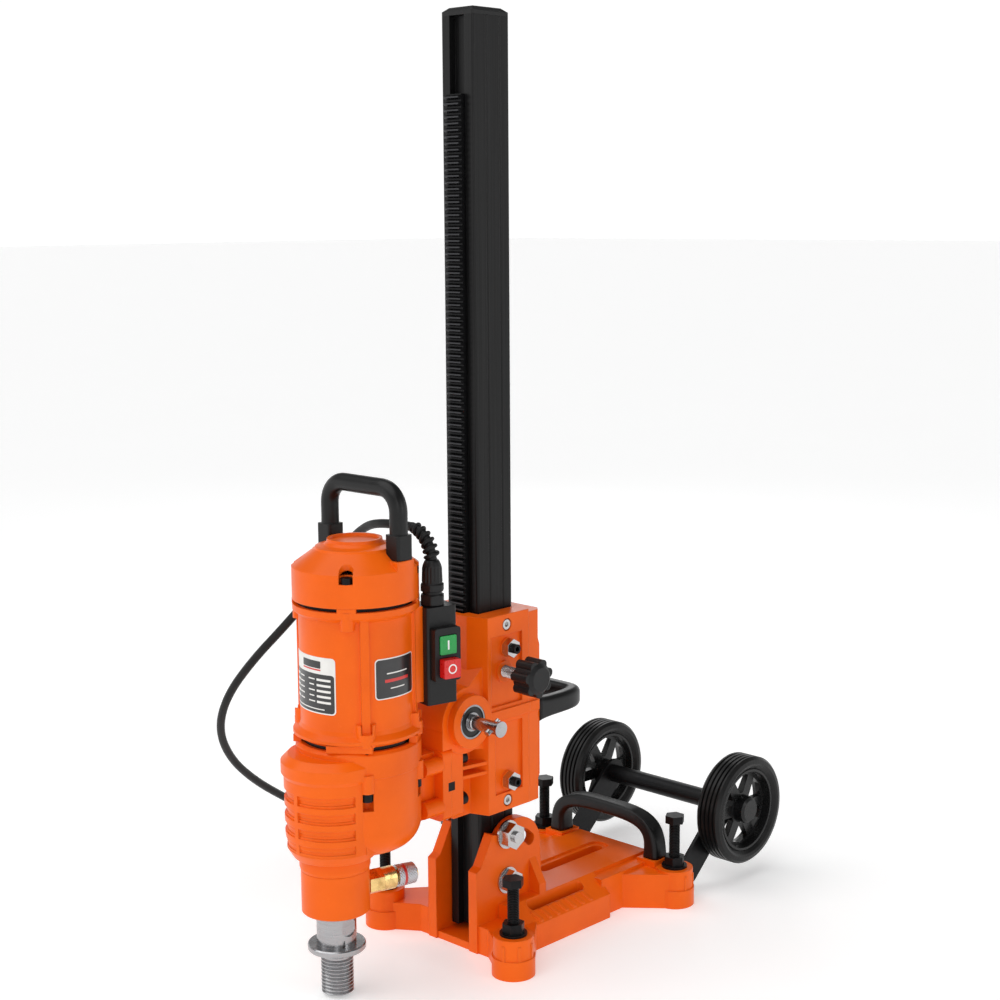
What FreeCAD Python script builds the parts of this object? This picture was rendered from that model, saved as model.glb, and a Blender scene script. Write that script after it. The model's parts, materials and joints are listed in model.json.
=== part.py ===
import FreeCAD, Part
import math
import os
from FreeCAD import Vector

# Core drill rig: wheeled base, tilting column with rack, carriage, geared drill motor.
# Millimetres. +Z up, -Y is the drilling side, +X is the side with the crank shaft.
# The origin is where the column's axis meets the ground.

# ---- clearances ----
GAP = 0.3
RUN = 0.06
BACKLASH = 0.3

# ---- column and rack ----
COL_W = 44.0
COL_D = 51.0
COL_TOP = 945.0
COL_FOOT = 14.0
COL_CORNER = 3.0
COL_WALL = 5.0
COL_CAP_H = 8.0
MODULE = 2.0
PRESSURE = math.radians(20)
RACK_W = 20.0
RACK_FIT = 0.2
RACK_PROUD = 9.5
GROOVE_DEEP = 8.0
RACK_TEETH_UP = 98
RACK_TEETH_DOWN = 16
PINION_TEETH = 28

# ---- tilt joint ----
PIVOT_Z = 68.0
PIVOT_R = 8.0
CLAMP_ARC_R = 50.0
CLAMP_R = 6.0
CLAMP_SLOT_HALF = 6.6
CLAMP_SWEEP = 45.0

# ---- base casting ----
DECK_Z = 46.0
SIDE_Z = 27.0
BASE_HALF = 74.0
REAR_HALF = 66.0
DECK_HALF = 50.0
FRONT_Y = -43.0
STEP_Y = 122.0
REAR_Y = 222.0
FOOT_R = 20.5
FOOT_Z = 41.5
FRONT_FOOT = (94.5, -52.4)
REAR_FOOT = (97.0, 204.0)
POCKET_HALF = 24.0
POCKET_BACK = 27.5
SILL_Z = 8.0
CHEEK_T = 12.0
ANCHOR_HALF = 7.0
ANCHOR_Y0 = 88.0
ANCHOR_Y1 = 192.0
SIDE_SLOT_X0 = 51.0
SIDE_SLOT_X1 = 61.0
RIDGE_COUNT = 7
BASE_GRIP_Y = 204.0
BASE_GRIP_W = 24.0

# ---- levelling screws ----
LEVEL_R = 6.0
LEVEL_PITCH = 1.75
LEVEL_TIP = 1.5
LEVEL_HEAD_Z = 92.0
LEVEL_HEAD_H = 8.5
M12_AF = 19.0
WASHER_H = 2.5
WASHER_R = 14.0
NUT_H = 10.0

# ---- wheels ----
AXLE_Y = 314.0
AXLE_Z = 82.6
AXLE_R = 6.0
AXLE_TUBE_R = 10.5
WHEEL_R = 61.6
WHEEL_IN = 87.4
WHEEL_W = 32.4
RIM_R = 47.0
ARM_IN = 82.5
ARM_T = 4.0

# ---- carriage ----
CAR_Z0 = 149.0
CAR_Z1 = 355.0
CAR_HALF = 46.0
CAR_FRONT = 44.0
CAR_SEAM_Y = 24.0
CAR_BACK_Y = 45.0
PAD_T = 3.2
PINION_Z = 254.0
PINION_W = 20.0
PINION_CASE_R = 34.0
PINION_CASE_HALF = 40.0
BOSS_R = 27.0
BOSS_X = 49.0
SHAFT_END_X = 88.0
SHAFT_R = 7.5
SHAFT_NOSE_R = 6.5
BEARING_R = 17.5
BEARING_W = 11.0
JOINT_Y = -82.0
JOINT_Z0 = 155.0
JOINT_Z1 = 229.0
JOINT_HALF = 39.0
CAR_FLANGE_T = 16.0
BOX_FLANGE_T = 12.0
JOINT_BOLT_X = 32.0
JOINT_BOLT_Z = (171.0, 214.0)
KEY = 9.0
ADJUST_Y = -6.0
ADJUST_Z = (180.0, 320.0)
SIDE_SCREW_Y = -8.0
SIDE_SCREW_Z = (159.0, 344.0)
LOCK_Y = -11.0
LOCK_Z = 296.0
LOCK_R = 6.0
KNOB_X = 72.0
KNOB_R = 20.0
KNOB_H = 24.0
KNOB_LOBES = 7
CAR_GRIP_Z0 = 229.5
CAR_GRIP_Z1 = 252.5
CAR_GRIP_Y = 129.0
CAR_GRIP_HALF = 40.0
CAR_GRIP_T = 16.0

# ---- drill motor ----
MOTOR_Y = -170.0
SPINDLE_Y = -203.5
MOTOR_R = 55.5
MOTOR_WALL = 4.0
MOTOR_Z0 = 258.5
MOTOR_Z1 = 389.5
COLLAR_R = 63.0
FIELD_CLEAR = 0.2     # between the field and the housing's bore
FIELD_END_STEP = 3.3  # how far the field's ends stay inside its core
FAN_CLEAR = 5.5       # between the fan's tips and the housing's bore
ARMATURE_R = 33.5
AIR_GAP = 1.0
CAP_R = 61.0
CAP_Z0 = 393.5
CAP_RIM = 425.0
CAP_TOP = 450.5
CASE_TOP = 254.5
CASE_REAR_R = 60.0
CASE_FRONT_R = 47.0
CASE_Z0 = 145.0
NECK_R = 34.5
NECK_Z = 130.7
SLEEVE_R = 33.3
SLEEVE_Z0 = 87.3
MOTOR_GRIP_Y = -158.0
MOTOR_GRIP_HALF = 49.0
MOTOR_GRIP_R = 8.7
MOTOR_GRIP_Z0 = 437.5
MOTOR_GRIP_Z1 = 500.0
CAP_SCREW_TURN = -50.0
CAP_POCKET_UP = 23.0
CASE_SCREW_TURN = 34.0
CASE_SCREW_R = 56.5

# ---- gear train ----
MOTOR_MODULE = 1.0
MOTOR_TEETH = 17
WHEEL_TEETH = 43
SLOW_MODULE = 1.25
SLOW_PINION_TEETH = 18
SPINDLE_TEETH = 44

# ---- spindle ----
SPINDLE_TIP = 3.0
THREAD_R = 15.875
THREAD_PITCH = 25.4 / 7
THREAD_TOP = 42.0
DISC_Z = 47.5
DISC_H = 6.5
DISC_R = 28.5
SPINDLE_R = 19.5

# ---- switch ----
SWITCH_TURN = -12.0
SWITCH_FACE = 50.0
SWITCH_BACK = 16.0
SWITCH_T0 = 49.2
SWITCH_T1 = 83.0
SWITCH_Z0 = 287.0
SWITCH_Z1 = 383.0
BUTTON = 18.4
BUTTON_T0 = 57.6
START_Z0 = 338.0
STOP_Z0 = 315.8
GLAND_N = 37.0
GLAND_T = 63.5

# ---- power cord ----
CORD_R = 4.5
RELIEF_R = 28.0
COIL_X = -381.0
COIL_Y = 135.0
COIL_MEAN_R = 50.0
COIL_H = 19.0
COIL_W = 28.0
PLUG_R = 18.0
PLUG_L = 46.0


# ================= helpers =================

def box(x0, x1, y0, y1, z0, z1):
    """A block between two corners."""
    return Part.makeBox(x1 - x0, y1 - y0, z1 - z0, Vector(x0, y0, z0))


def rod(radius, start, axis, length):
    """A cylinder from a point along an axis."""
    return Part.makeCylinder(radius, length, Vector(*start), Vector(*axis))


def ring(outer, inner, start, axis, length):
    """A tube from a point along an axis."""
    return rod(outer, start, axis, length).cut(rod(inner, start, axis, length))


def fuse(shapes):
    """One solid of several that touch."""
    whole = shapes[0]
    for shape in shapes[1:]:
        whole = whole.fuse(shape)
    return whole.removeSplitter()


def both_sides(shape):
    """A shape and its mirror image across the middle plane."""
    return [shape, shape.mirror(Vector(0, 0, 0), Vector(1, 0, 0))]


def prism(points, push):
    """A polygon pushed along a vector."""
    loop = Part.makePolygon([Vector(*p) for p in points + points[:1]])
    return Part.Face(loop).extrude(Vector(*push))


def plate_yz(points, x0, x1):
    """A polygon in Y and Z, with thickness along X."""
    return prism([(x0, y, z) for y, z in points], (x1 - x0, 0, 0))


def plate_xz(points, y0, y1):
    """A polygon in X and Z, with thickness along Y."""
    return prism([(x, y0, z) for x, z in points], (0, y1 - y0, 0))


def plate_xy(points, z0, z1):
    """A polygon in X and Y, with height along Z."""
    return prism([(x, y, z0) for x, y in points], (0, 0, z1 - z0))


def turned(points, x, y):
    """A profile of radius and height turned about a vertical axis."""
    loop = Part.makePolygon([Vector(r, 0, z) for r, z in points + points[:1]])
    solid = Part.Face(loop).revolve(Vector(0, 0, 0), Vector(0, 0, 1), 360)
    solid.translate(Vector(x, y, 0))
    return solid


def turned_x(points, y, z):
    """A profile of distance along X and radius, turned about an axis along X."""
    loop = Part.makePolygon([Vector(x, 0, r) for x, r in points + points[:1]])
    solid = Part.Face(loop).revolve(Vector(0, 0, 0), Vector(1, 0, 0), 360)
    solid.translate(Vector(0, y, z))
    return solid


def hexagon(across_flats, start, axis, length):
    """A hexagonal bar from a point along an axis."""
    corner = across_flats / math.sqrt(3)
    turn = [math.radians(60 * k) for k in range(6)]
    bar = plate_xy([(corner * math.cos(a), corner * math.sin(a)) for a in turn], 0, length)
    bar.Placement = FreeCAD.Placement(Vector(*start), FreeCAD.Rotation(Vector(0, 0, 1), Vector(*axis)))
    return bar


def edges_along(shape, direction, keep=lambda middle: True):
    """The straight edges parallel to a direction, and kept by their middle point."""
    found = []
    for edge in shape.Edges:
        if not isinstance(edge.Curve, Part.Line):
            continue
        if abs(edge.Curve.Direction.dot(Vector(*direction))) > 0.999 and keep(edge.CenterOfMass):
            found.append(edge)
    return found


def rounded(shape, radius, direction, keep=lambda middle: True):
    """The shape with its edges along one direction rounded."""
    return shape.makeFillet(radius, edges_along(shape, direction, keep))


def save(name, *shapes):
    """One STEP file for a node, of one solid or a group of them."""
    solids = [solid for shape in shapes for solid in shape.Solids]
    for solid in solids:
        if not solid.isValid():
            raise ValueError(name + " has a solid that isn't valid")
    whole = solids[0] if len(solids) == 1 else Part.makeCompound(solids)
    whole.exportStep("parts/" + name + ".step")


def thread(radius, depth, pitch, z0, z1, x, y):
    """A threaded length as close ridges, ready to fuse to a plain shank."""
    points = [(0, z0)]
    count = int((z1 - z0) / pitch)
    for k in range(count):
        low = z0 + k * pitch
        points += [(radius - depth, low), (radius, low + pitch * 0.4), (radius, low + pitch * 0.6)]
    top = z0 + count * pitch
    points += [(radius - depth, top), (radius - depth, z1), (0, z1)]
    return turned(points, x, y)


# ================= gears =================

def involute(angle):
    return math.tan(angle) - angle


def gear(module, teeth, width, z0, phase):
    """A spur gear about the Z axis, with a tooth's middle at the phase angle."""
    pitch_r = module * teeth / 2
    base_r = pitch_r * math.cos(PRESSURE)
    tip_r = pitch_r + module
    root_r = pitch_r - 1.25 * module
    half = (math.pi * module / 2 - BACKLASH * module / 2) / (2 * pitch_r)
    steps = [max(base_r, root_r) + k * (tip_r - max(base_r, root_r)) / 4 for k in range(5)]
    flank = [(r, half + involute(PRESSURE) - involute(math.acos(base_r / r))) for r in steps]
    flank = [(root_r, flank[0][1])] + flank
    points = []
    for tooth in range(teeth):
        middle = phase + 2 * math.pi * tooth / teeth
        side = [(r, middle - a) for r, a in flank] + [(r, middle + a) for r, a in reversed(flank)]
        points += [(r * math.cos(a), r * math.sin(a)) for r, a in side]
    return plate_xy(points, z0, z0 + width)


def turned_to_x(shape, y, z):
    """A shape built about the Z axis, laid along X: its own X axis then points along +Y."""
    shape.Placement = FreeCAD.Placement(
        Vector(0, y, z), FreeCAD.Rotation(Vector(0, 1, 0), Vector(0, 0, 1), Vector(1, 0, 0), "ZXY"))
    return shape


FIRST_CENTRES = MOTOR_MODULE * (MOTOR_TEETH + WHEEL_TEETH) / 2
SECOND_CENTRES = SLOW_MODULE * (SLOW_PINION_TEETH + SPINDLE_TEETH) / 2
AXES_APART = MOTOR_Y - SPINDLE_Y
IDLER_DY = (SECOND_CENTRES**2 - FIRST_CENTRES**2 - AXES_APART**2) / (2 * AXES_APART)
IDLER_X = math.sqrt(FIRST_CENTRES**2 - IDLER_DY**2)
IDLER_Y = MOTOR_Y + IDLER_DY
RACK_PITCH = math.pi * MODULE
RACK_TIP_Y = -COL_D / 2 - RACK_PROUD
RACK_LINE_Y = RACK_TIP_Y + MODULE
PINION_R = MODULE * PINION_TEETH / 2
PINION_Y = RACK_LINE_Y - PINION_R
CAVITY_X = COL_W / 2 + GAP + PAD_T
CAVITY_Y = COL_D / 2 + GAP + PAD_T


# ================= column =================

def column_profile():
    """The extruded column: front groove for the rack, and shallow lines down its sides."""
    body = box(-COL_W / 2, COL_W / 2, -COL_D / 2, COL_D / 2, COL_FOOT, COL_TOP)
    body = rounded(body, COL_CORNER, (0, 0, 1))
    groove_half = RACK_W / 2 + RACK_FIT
    floor_y = -COL_D / 2 + GROOVE_DEEP
    cuts = [box(-groove_half, groove_half, -COL_D, floor_y, 0, COL_TOP + 1)]
    cuts.append(box(-COL_W / 2 + COL_WALL, COL_W / 2 - COL_WALL, floor_y + COL_WALL,
                    COL_D / 2 - COL_WALL, 0, COL_TOP + 1))
    for y in (-7.1, 11.7):
        line = plate_xy([(COL_W / 2 - 1.2, y), (COL_W / 2 + 0.1, y - 1.4), (COL_W / 2 + 0.1, y + 1.4)],
                        0, COL_TOP + 1)
        cuts += both_sides(line)
    for x in (-13.5, 13.5):
        cuts.append(plate_xy([(x, COL_D / 2 - 1.2), (x - 1.4, COL_D / 2 + 0.1), (x + 1.4, COL_D / 2 + 0.1)],
                             0, COL_TOP + 1))
    cuts.append(rod(PIVOT_R + 1, (-COL_W, 0, PIVOT_Z), (1, 0, 0), 2 * COL_W))
    cuts.append(rod(CLAMP_R + 1, (-COL_W, 0, PIVOT_Z + CLAMP_ARC_R), (1, 0, 0), 2 * COL_W))
    return body.cut(Part.makeCompound(cuts))


def column_foot():
    """The steel block inside the column's lower end that takes the pivot and clamp bolts."""
    floor_y = -COL_D / 2 + GROOVE_DEEP + COL_WALL
    half = COL_W / 2 - COL_WALL - 0.1
    block = box(-half, half, floor_y + 0.1, COL_D / 2 - COL_WALL - 0.1, COL_FOOT + 2, PIVOT_Z + 70)
    holes = [rod(PIVOT_R + RUN, (-COL_W, 0, PIVOT_Z), (1, 0, 0), 2 * COL_W),
             rod(CLAMP_R + 0.05, (-COL_W, 0, PIVOT_Z + CLAMP_ARC_R), (1, 0, 0), 2 * COL_W)]
    return block.cut(Part.makeCompound(holes))


def column_cap():
    """The plastic cap: a low pyramid with a plug that sits in the column."""
    rim = COL_TOP + COL_CAP_H / 2
    lid = box(-COL_W / 2, COL_W / 2, -COL_D / 2, COL_D / 2, COL_TOP, rim)
    lid = rounded(lid, COL_CORNER, (0, 0, 1))
    loops = []
    for inset, z in ((1.0, rim), (6.0, COL_TOP + COL_CAP_H)):
        x = COL_W / 2 - inset
        y = COL_D / 2 - inset
        loops.append(Part.makePolygon([Vector(-x, -y, z), Vector(x, -y, z), Vector(x, y, z), Vector(-x, y, z),
                                       Vector(-x, -y, z)]))
    lid = lid.fuse(Part.makeLoft(loops, True, True))
    inset = COL_WALL + 0.2
    plug = box(-COL_W / 2 + inset, COL_W / 2 - inset, -COL_D / 2 + GROOVE_DEEP + inset,
               COL_D / 2 - inset, COL_TOP - 18, COL_TOP)
    return fuse([lid, plug])


def gear_rack():
    """The straight rack in the column's groove; a gap faces the pinion's middle height."""
    half_tip = RACK_PITCH / 4 - MODULE * math.tan(PRESSURE) - BACKLASH / 2
    half_root = RACK_PITCH / 4 + 1.25 * MODULE * math.tan(PRESSURE) - BACKLASH / 2
    tip_y = RACK_TIP_Y
    root_y = RACK_LINE_Y + 1.25 * MODULE
    back_y = -COL_D / 2 + GROOVE_DEEP
    points = []
    for k in range(-RACK_TEETH_DOWN, RACK_TEETH_UP):
        z = PINION_Z + (k + 0.5) * RACK_PITCH
        points += [(root_y, z - half_root), (tip_y, z - half_tip), (tip_y, z + half_tip), (root_y, z + half_root)]
    low = points[0][1] - 1
    high = points[-1][1] + 1
    points = [(back_y, low), (root_y, low)] + points + [(root_y, high), (back_y, high)]
    return plate_yz(points, -RACK_W / 2, RACK_W / 2)


def clamp_bolt():
    """The clamp bolt through the cheeks' curved slots, with a washer and nut at each end."""
    z = PIVOT_Z + CLAMP_ARC_R
    face = POCKET_HALF + CHEEK_T + GAP
    shank = rod(CLAMP_R, (-face - 17, 0, z), (1, 0, 0), 2 * face + 34)
    solids = [shank]
    for side in (1, -1):
        washer = ring(15.0, CLAMP_R, (side * face, 0, z), (side, 0, 0), WASHER_H)
        nut = hexagon(24.0, (side * (face + WASHER_H), 0, z), (side, 0, 0), 11)
        nut = nut.cut(rod(CLAMP_R, (side * face, 0, z), (side, 0, 0), 20))
        solids += [washer, nut]
    return solids


# ================= base =================

def deck_section(lift=0.0):
    """Half outlines of the base across its width, mirrored into one."""
    right = [(BASE_HALF, 0), (BASE_HALF, SIDE_Z + lift), (DECK_HALF, DECK_Z + lift)]
    return right + [(-x, z) for x, z in reversed(right)]


def cheek():
    """The upright plate beside the column, with the pivot hole and the curved slot."""
    z_top = PIVOT_Z + CLAMP_ARC_R - 21
    outline = [(FRONT_Y - 2, 0), (FRONT_Y - 2, 87), (FRONT_Y + 5, 91), (FRONT_Y + 22, 122), (-6, z_top + 20),
               (17, z_top), (51, z_top), (53, 63), (53, 0)]
    plate = plate_yz(outline, POCKET_HALF, POCKET_HALF + CHEEK_T)
    crown = rod(34.0, (POCKET_HALF, 17, z_top), (1, 0, 0), CHEEK_T)
    gusset = plate_xz([(POCKET_HALF + CHEEK_T, 82), (60, DECK_Z - 4), (POCKET_HALF + CHEEK_T, DECK_Z - 4)], 34, 44)
    return fuse([plate, crown, gusset])


def clamp_slot():
    """The cutter for the curved slot about the pivot."""
    x0 = -BASE_HALF
    length = 2 * BASE_HALF
    slot = [Part.makeCylinder(CLAMP_ARC_R + CLAMP_SLOT_HALF, length, Vector(x0, 0, PIVOT_Z), Vector(1, 0, 0))]
    band = slot[0].cut(rod(CLAMP_ARC_R - CLAMP_SLOT_HALF, (x0, 0, PIVOT_Z), (1, 0, 0), length))
    reach = 2 * CLAMP_ARC_R
    sweep = math.radians(CLAMP_SWEEP)
    wedge = plate_yz([(0, PIVOT_Z), (0, PIVOT_Z + reach),
                      (reach * math.tan(sweep / 2), PIVOT_Z + reach),
                      (reach * math.sin(sweep), PIVOT_Z + reach * math.cos(sweep))], x0, x0 + length)
    ends = [rod(CLAMP_SLOT_HALF, (x0, CLAMP_ARC_R * math.sin(a), PIVOT_Z + CLAMP_ARC_R * math.cos(a)),
                (1, 0, 0), length) for a in (0, sweep)]
    return fuse([band.common(wedge)] + ends)


def corner_foot(x, y):
    """A foot: round boss, wider skirt, and raised ribs round its outside."""
    away = math.copysign(1, y - 80)
    solids = [rod(FOOT_R, (x, y, 0), (0, 0, 1), FOOT_Z), rod(FOOT_R + 1.6, (x, y, 0), (0, 0, 1), 20)]
    for turn in (-60, -15, 30):
        rib = box(FOOT_R - 3, FOOT_R + 0.9, -1.5, 1.5, 10, FOOT_Z - 6)
        rib.rotate(Vector(0, 0, 0), Vector(0, 0, 1), away * (turn + 45))
        rib.translate(Vector(x, y, 0))
        solids.append(rib)
    return fuse(solids)


def anti_slip_ridges():
    """Slanted ridges on the sloping shoulder."""
    band = plate_xz(deck_section(1.8), 0, STEP_Y)
    solids = []
    for k in range(RIDGE_COUNT):
        ridge = box(-9, 9, -1.8, 1.8, 0, DECK_Z + 4)
        ridge.rotate(Vector(0, 0, 0), Vector(0, 0, 1), 28)
        ridge.translate(Vector((SIDE_SLOT_X1 + BASE_HALF) / 2 + 1, 12 + 13 * k, 0))
        ridge = ridge.common(band).common(box(SIDE_SLOT_X1 + 2, BASE_HALF - 1, 0, STEP_Y, 10, 60))
        solids += both_sides(ridge)
    return solids


def base_casting():
    """The base: deck, sloping shoulders, four feet, cheeks, slots and a hollow underside."""
    body = plate_xz(deck_section(), FRONT_Y + 30, STEP_Y)
    rear = box(-REAR_HALF, REAR_HALF, STEP_Y - 5, REAR_Y - 8, 0, DECK_Z - 4)
    rear_deck = box(-DECK_HALF, DECK_HALF, STEP_Y - 5, REAR_Y - 8, 0, DECK_Z)
    nose = box(-54, 54, FRONT_Y, 0, 0, 30)
    pads = both_sides(box(46, 80, REAR_Y - 30, REAR_Y + 2.5, 0, FOOT_Z - 2))
    fx, fy = FRONT_FOOT
    rx, ry = REAR_FOOT
    front_web = plate_xy([(50, FRONT_Y), (84, fy - 13), (fx + 14, fy + 14), (BASE_HALF, 4), (50, 4)], 0, 30)
    rear_web = plate_xy([(60, ry - 52), (REAR_HALF, ry - 52), (rx + 17, ry - 11), (rx, ry + 18), (60, ry + 16)],
                        0, FOOT_Z - 3)
    right = fuse([corner_foot(fx, fy), front_web, rear_web, corner_foot(rx, ry), cheek(), pads[0]])
    grip_seat = box(56, 81.5, BASE_GRIP_Y - 15, BASE_GRIP_Y + 15, 0, DECK_Z)
    right = right.fuse(grip_seat)
    whole = fuse([body, rear, rear_deck, nose] + both_sides(right) + anti_slip_ridges())
    cuts = [box(-POCKET_HALF, POCKET_HALF, FRONT_Y - 20, POCKET_BACK, SILL_Z, 200)]
    slot_r = (SIDE_SLOT_X1 - SIDE_SLOT_X0) / 2
    side_slot = box(SIDE_SLOT_X0, SIDE_SLOT_X1, 10, 96, 14, 60)
    side_slot = rounded(side_slot, slot_r - 0.01, (0, 0, 1))
    cuts += both_sides(side_slot)
    anchor = box(-ANCHOR_HALF, ANCHOR_HALF, ANCHOR_Y0, ANCHOR_Y1, -1, 60)
    cuts.append(rounded(anchor, ANCHOR_HALF - 0.01, (0, 0, 1)))
    relief = box(-ANCHOR_HALF - 6, ANCHOR_HALF + 6, ANCHOR_Y0 - 6, ANCHOR_Y1 + 6, DECK_Z - 2.5, 60)
    cuts.append(rounded(relief, ANCHOR_HALF + 5, (0, 0, 1)))
    cuts += both_sides(box(ANCHOR_HALF + 9, 44, 62, 205, -1, DECK_Z - 9))
    cuts.append(clamp_slot())
    cuts.append(rod(PIVOT_R + RUN, (-BASE_HALF, 0, PIVOT_Z), (1, 0, 0), 2 * BASE_HALF))
    for x, y in (FRONT_FOOT, REAR_FOOT):
        cuts += both_sides(rod(LEVEL_R + GAP, (x, y, -1), (0, 0, 1), 80))
    return whole.cut(Part.makeCompound(cuts))


def pivot_bolt():
    """The tilt pivot bolt with a nut and washer outside each cheek."""
    face = POCKET_HALF + CHEEK_T
    solids = [rod(PIVOT_R, (-face - 15, 0, PIVOT_Z), (1, 0, 0), 2 * face + 30)]
    for side in (1, -1):
        solids.append(ring(14.0, PIVOT_R, (side * face, 0, PIVOT_Z), (side, 0, 0), 2.0))
        nut = hexagon(22.0, (side * (face + 2), 0, PIVOT_Z), (side, 0, 0), 10)
        solids.append(nut.cut(rod(PIVOT_R, (side * face, 0, PIVOT_Z), (side, 0, 0), 20)))
    return solids


def feet():
    """The four feet as name and place."""
    names = []
    for end, (x, y) in (("front", FRONT_FOOT), ("rear", REAR_FOOT)):
        names += [(end + "_right", x, y), (end + "_left", -x, y)]
    return names


def levelling_screw(x, y):
    """A hexagon screw standing in a foot."""
    shank = thread(LEVEL_R, 0.9, LEVEL_PITCH, LEVEL_TIP, LEVEL_HEAD_Z, x, y)
    head = hexagon(M12_AF, (x, y, LEVEL_HEAD_Z), (0, 0, 1), LEVEL_HEAD_H)
    return fuse([shank, head])


def levelling_nuts():
    """The washer and lock nut on each foot."""
    solids = []
    for _, x, y in feet():
        solids.append(ring(WASHER_R, LEVEL_R + GAP, (x, y, FOOT_Z), (0, 0, 1), WASHER_H))
        nut = hexagon(M12_AF + 1, (x, y, FOOT_Z + WASHER_H), (0, 0, 1), NUT_H)
        solids.append(nut.cut(rod(LEVEL_R + GAP, (x, y, FOOT_Z), (0, 0, 1), 40)))
    return solids


def base_handle():
    """The D-shaped carrying handle across the deck."""
    outer = [(-80, DECK_Z), (-76, DECK_Z + 22), (-34, DECK_Z + 51), (34, DECK_Z + 51), (76, DECK_Z + 22),
             (80, DECK_Z)]
    inner = [(-60, DECK_Z - 1), (-57, DECK_Z + 16), (-28, DECK_Z + 36), (28, DECK_Z + 36), (57, DECK_Z + 16),
             (60, DECK_Z - 1)]
    y0 = BASE_GRIP_Y - BASE_GRIP_W / 2
    grip = plate_xz(outer, y0, y0 + BASE_GRIP_W)
    hole = plate_xz(inner, y0 - 1, y0 + BASE_GRIP_W + 1)
    grip = rounded(grip, 14, (0, 1, 0), lambda m: m.z > DECK_Z + 5)
    hole = rounded(hole, 9, (0, 1, 0), lambda m: m.z > DECK_Z + 5)
    return grip.cut(hole)


# ================= wheels =================

def wheel_arm():
    """The bent steel arm on the right that carries the axle."""
    x1 = ARM_IN + ARM_T
    low_y, low_z, low_r = 246.0, 22.0, 17.0
    eye_r = 17.0
    arm = [rod(eye_r, (ARM_IN, AXLE_Y, AXLE_Z), (1, 0, 0), ARM_T),
           rod(low_r, (ARM_IN, low_y, low_z), (1, 0, 0), ARM_T)]
    slope = math.atan2(AXLE_Z - low_z, AXLE_Y - low_y)
    dy = -low_r * math.sin(slope)
    dz = low_r * math.cos(slope)
    arm.append(plate_yz([(low_y + dy, low_z + dz), (AXLE_Y + dy, AXLE_Z + dz), (AXLE_Y - dy, AXLE_Z - dz),
                         (low_y - dy, low_z - dz)], ARM_IN, x1))
    tab_y = REAR_Y + 2.5
    arm.append(box(ARM_IN, x1, tab_y, low_y, low_z - low_r, low_z + low_r))
    arm.append(box(48, x1, tab_y, tab_y + ARM_T, low_z - low_r, low_z + low_r))
    holes = [rod(AXLE_R + 0.05, (ARM_IN - 1, AXLE_Y, AXLE_Z), (1, 0, 0), 20)]
    holes += [rod(4.3, (x, tab_y - 1, low_z), (0, 1, 0), 20) for x in (56, 72)]
    return fuse(arm).cut(Part.makeCompound(holes))


def arm_bolts():
    """The bolts that hold both arms to the base."""
    y = REAR_Y + 2.5 + ARM_T
    solids = []
    for x in (-72, -56, 56, 72):
        head = hexagon(13.0, (x, y, 22.0), (0, 1, 0), 5.5)
        solids.append(fuse([head, rod(4.0, (x, y - ARM_T, 22.0), (0, 1, 0), ARM_T + 1)]))
    return solids


def axle():
    """The axle tube between the arms, with a stub for each wheel."""
    end = WHEEL_IN + WHEEL_W - 4.5
    return fuse([rod(AXLE_TUBE_R, (-ARM_IN, AXLE_Y, AXLE_Z), (1, 0, 0), 2 * ARM_IN),
                 rod(AXLE_R, (-end, AXLE_Y, AXLE_Z), (1, 0, 0), 2 * end)])


def tyre():
    """The right tyre, with round grooves in its tread."""
    x0 = WHEEL_IN
    x1 = WHEEL_IN + WHEEL_W
    points = [(x0 + 5, RIM_R), (x0 + 1.2, 51), (x0, 54), (x0 + 1, 58.6), (x0 + 4.2, WHEEL_R)]
    for k in range(4):
        x = x0 + 6.6 + k * 5.6
        points += [(x, WHEEL_R), (x + 0.7, WHEEL_R - 2.2), (x + 1.9, WHEEL_R - 2.2), (x + 2.6, WHEEL_R)]
    points += [(x1 - 4.2, WHEEL_R), (x1 - 1, 58.6), (x1, 54), (x1 - 1.2, 51), (x1 - 5, RIM_R)]
    return turned_x(points, AXLE_Y, AXLE_Z)


def wheel_hub():
    """The right plastic wheel centre: rim, web with windows, barrel and a closed cap."""
    x0 = WHEEL_IN
    x1 = WHEEL_IN + WHEEL_W
    profile = [(x0, AXLE_R + RUN), (x0, 13), (x0 + 11, 14.5), (x0 + 12, 42), (x0 + 4, 44), (x0 + 4, RIM_R - 0.1),
               (x1 - 4, RIM_R - 0.1), (x1 - 4, 44), (x1 - 14, 42), (x1 - 13, 16), (x1 - 2, 15), (x1, 12), (x1, 0),
               (x1 - 4, 0), (x1 - 4, AXLE_R + RUN)]
    hub = turned_x(profile, AXLE_Y, AXLE_Z)
    windows = []
    for k in range(6):
        a = math.radians(60 * k + 30)
        narrow, wide = math.radians(9), math.radians(21)
        corners = [(18.5, a - narrow), (39, a - wide), (41, a), (39, a + wide), (18.5, a + narrow)]
        points = [(AXLE_Y + r * math.cos(t), AXLE_Z + r * math.sin(t)) for r, t in corners]
        windows.append(plate_yz(points, x0 - 1, x1 + 1))
    return hub.cut(Part.makeCompound(windows))


# ================= carriage =================

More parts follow.
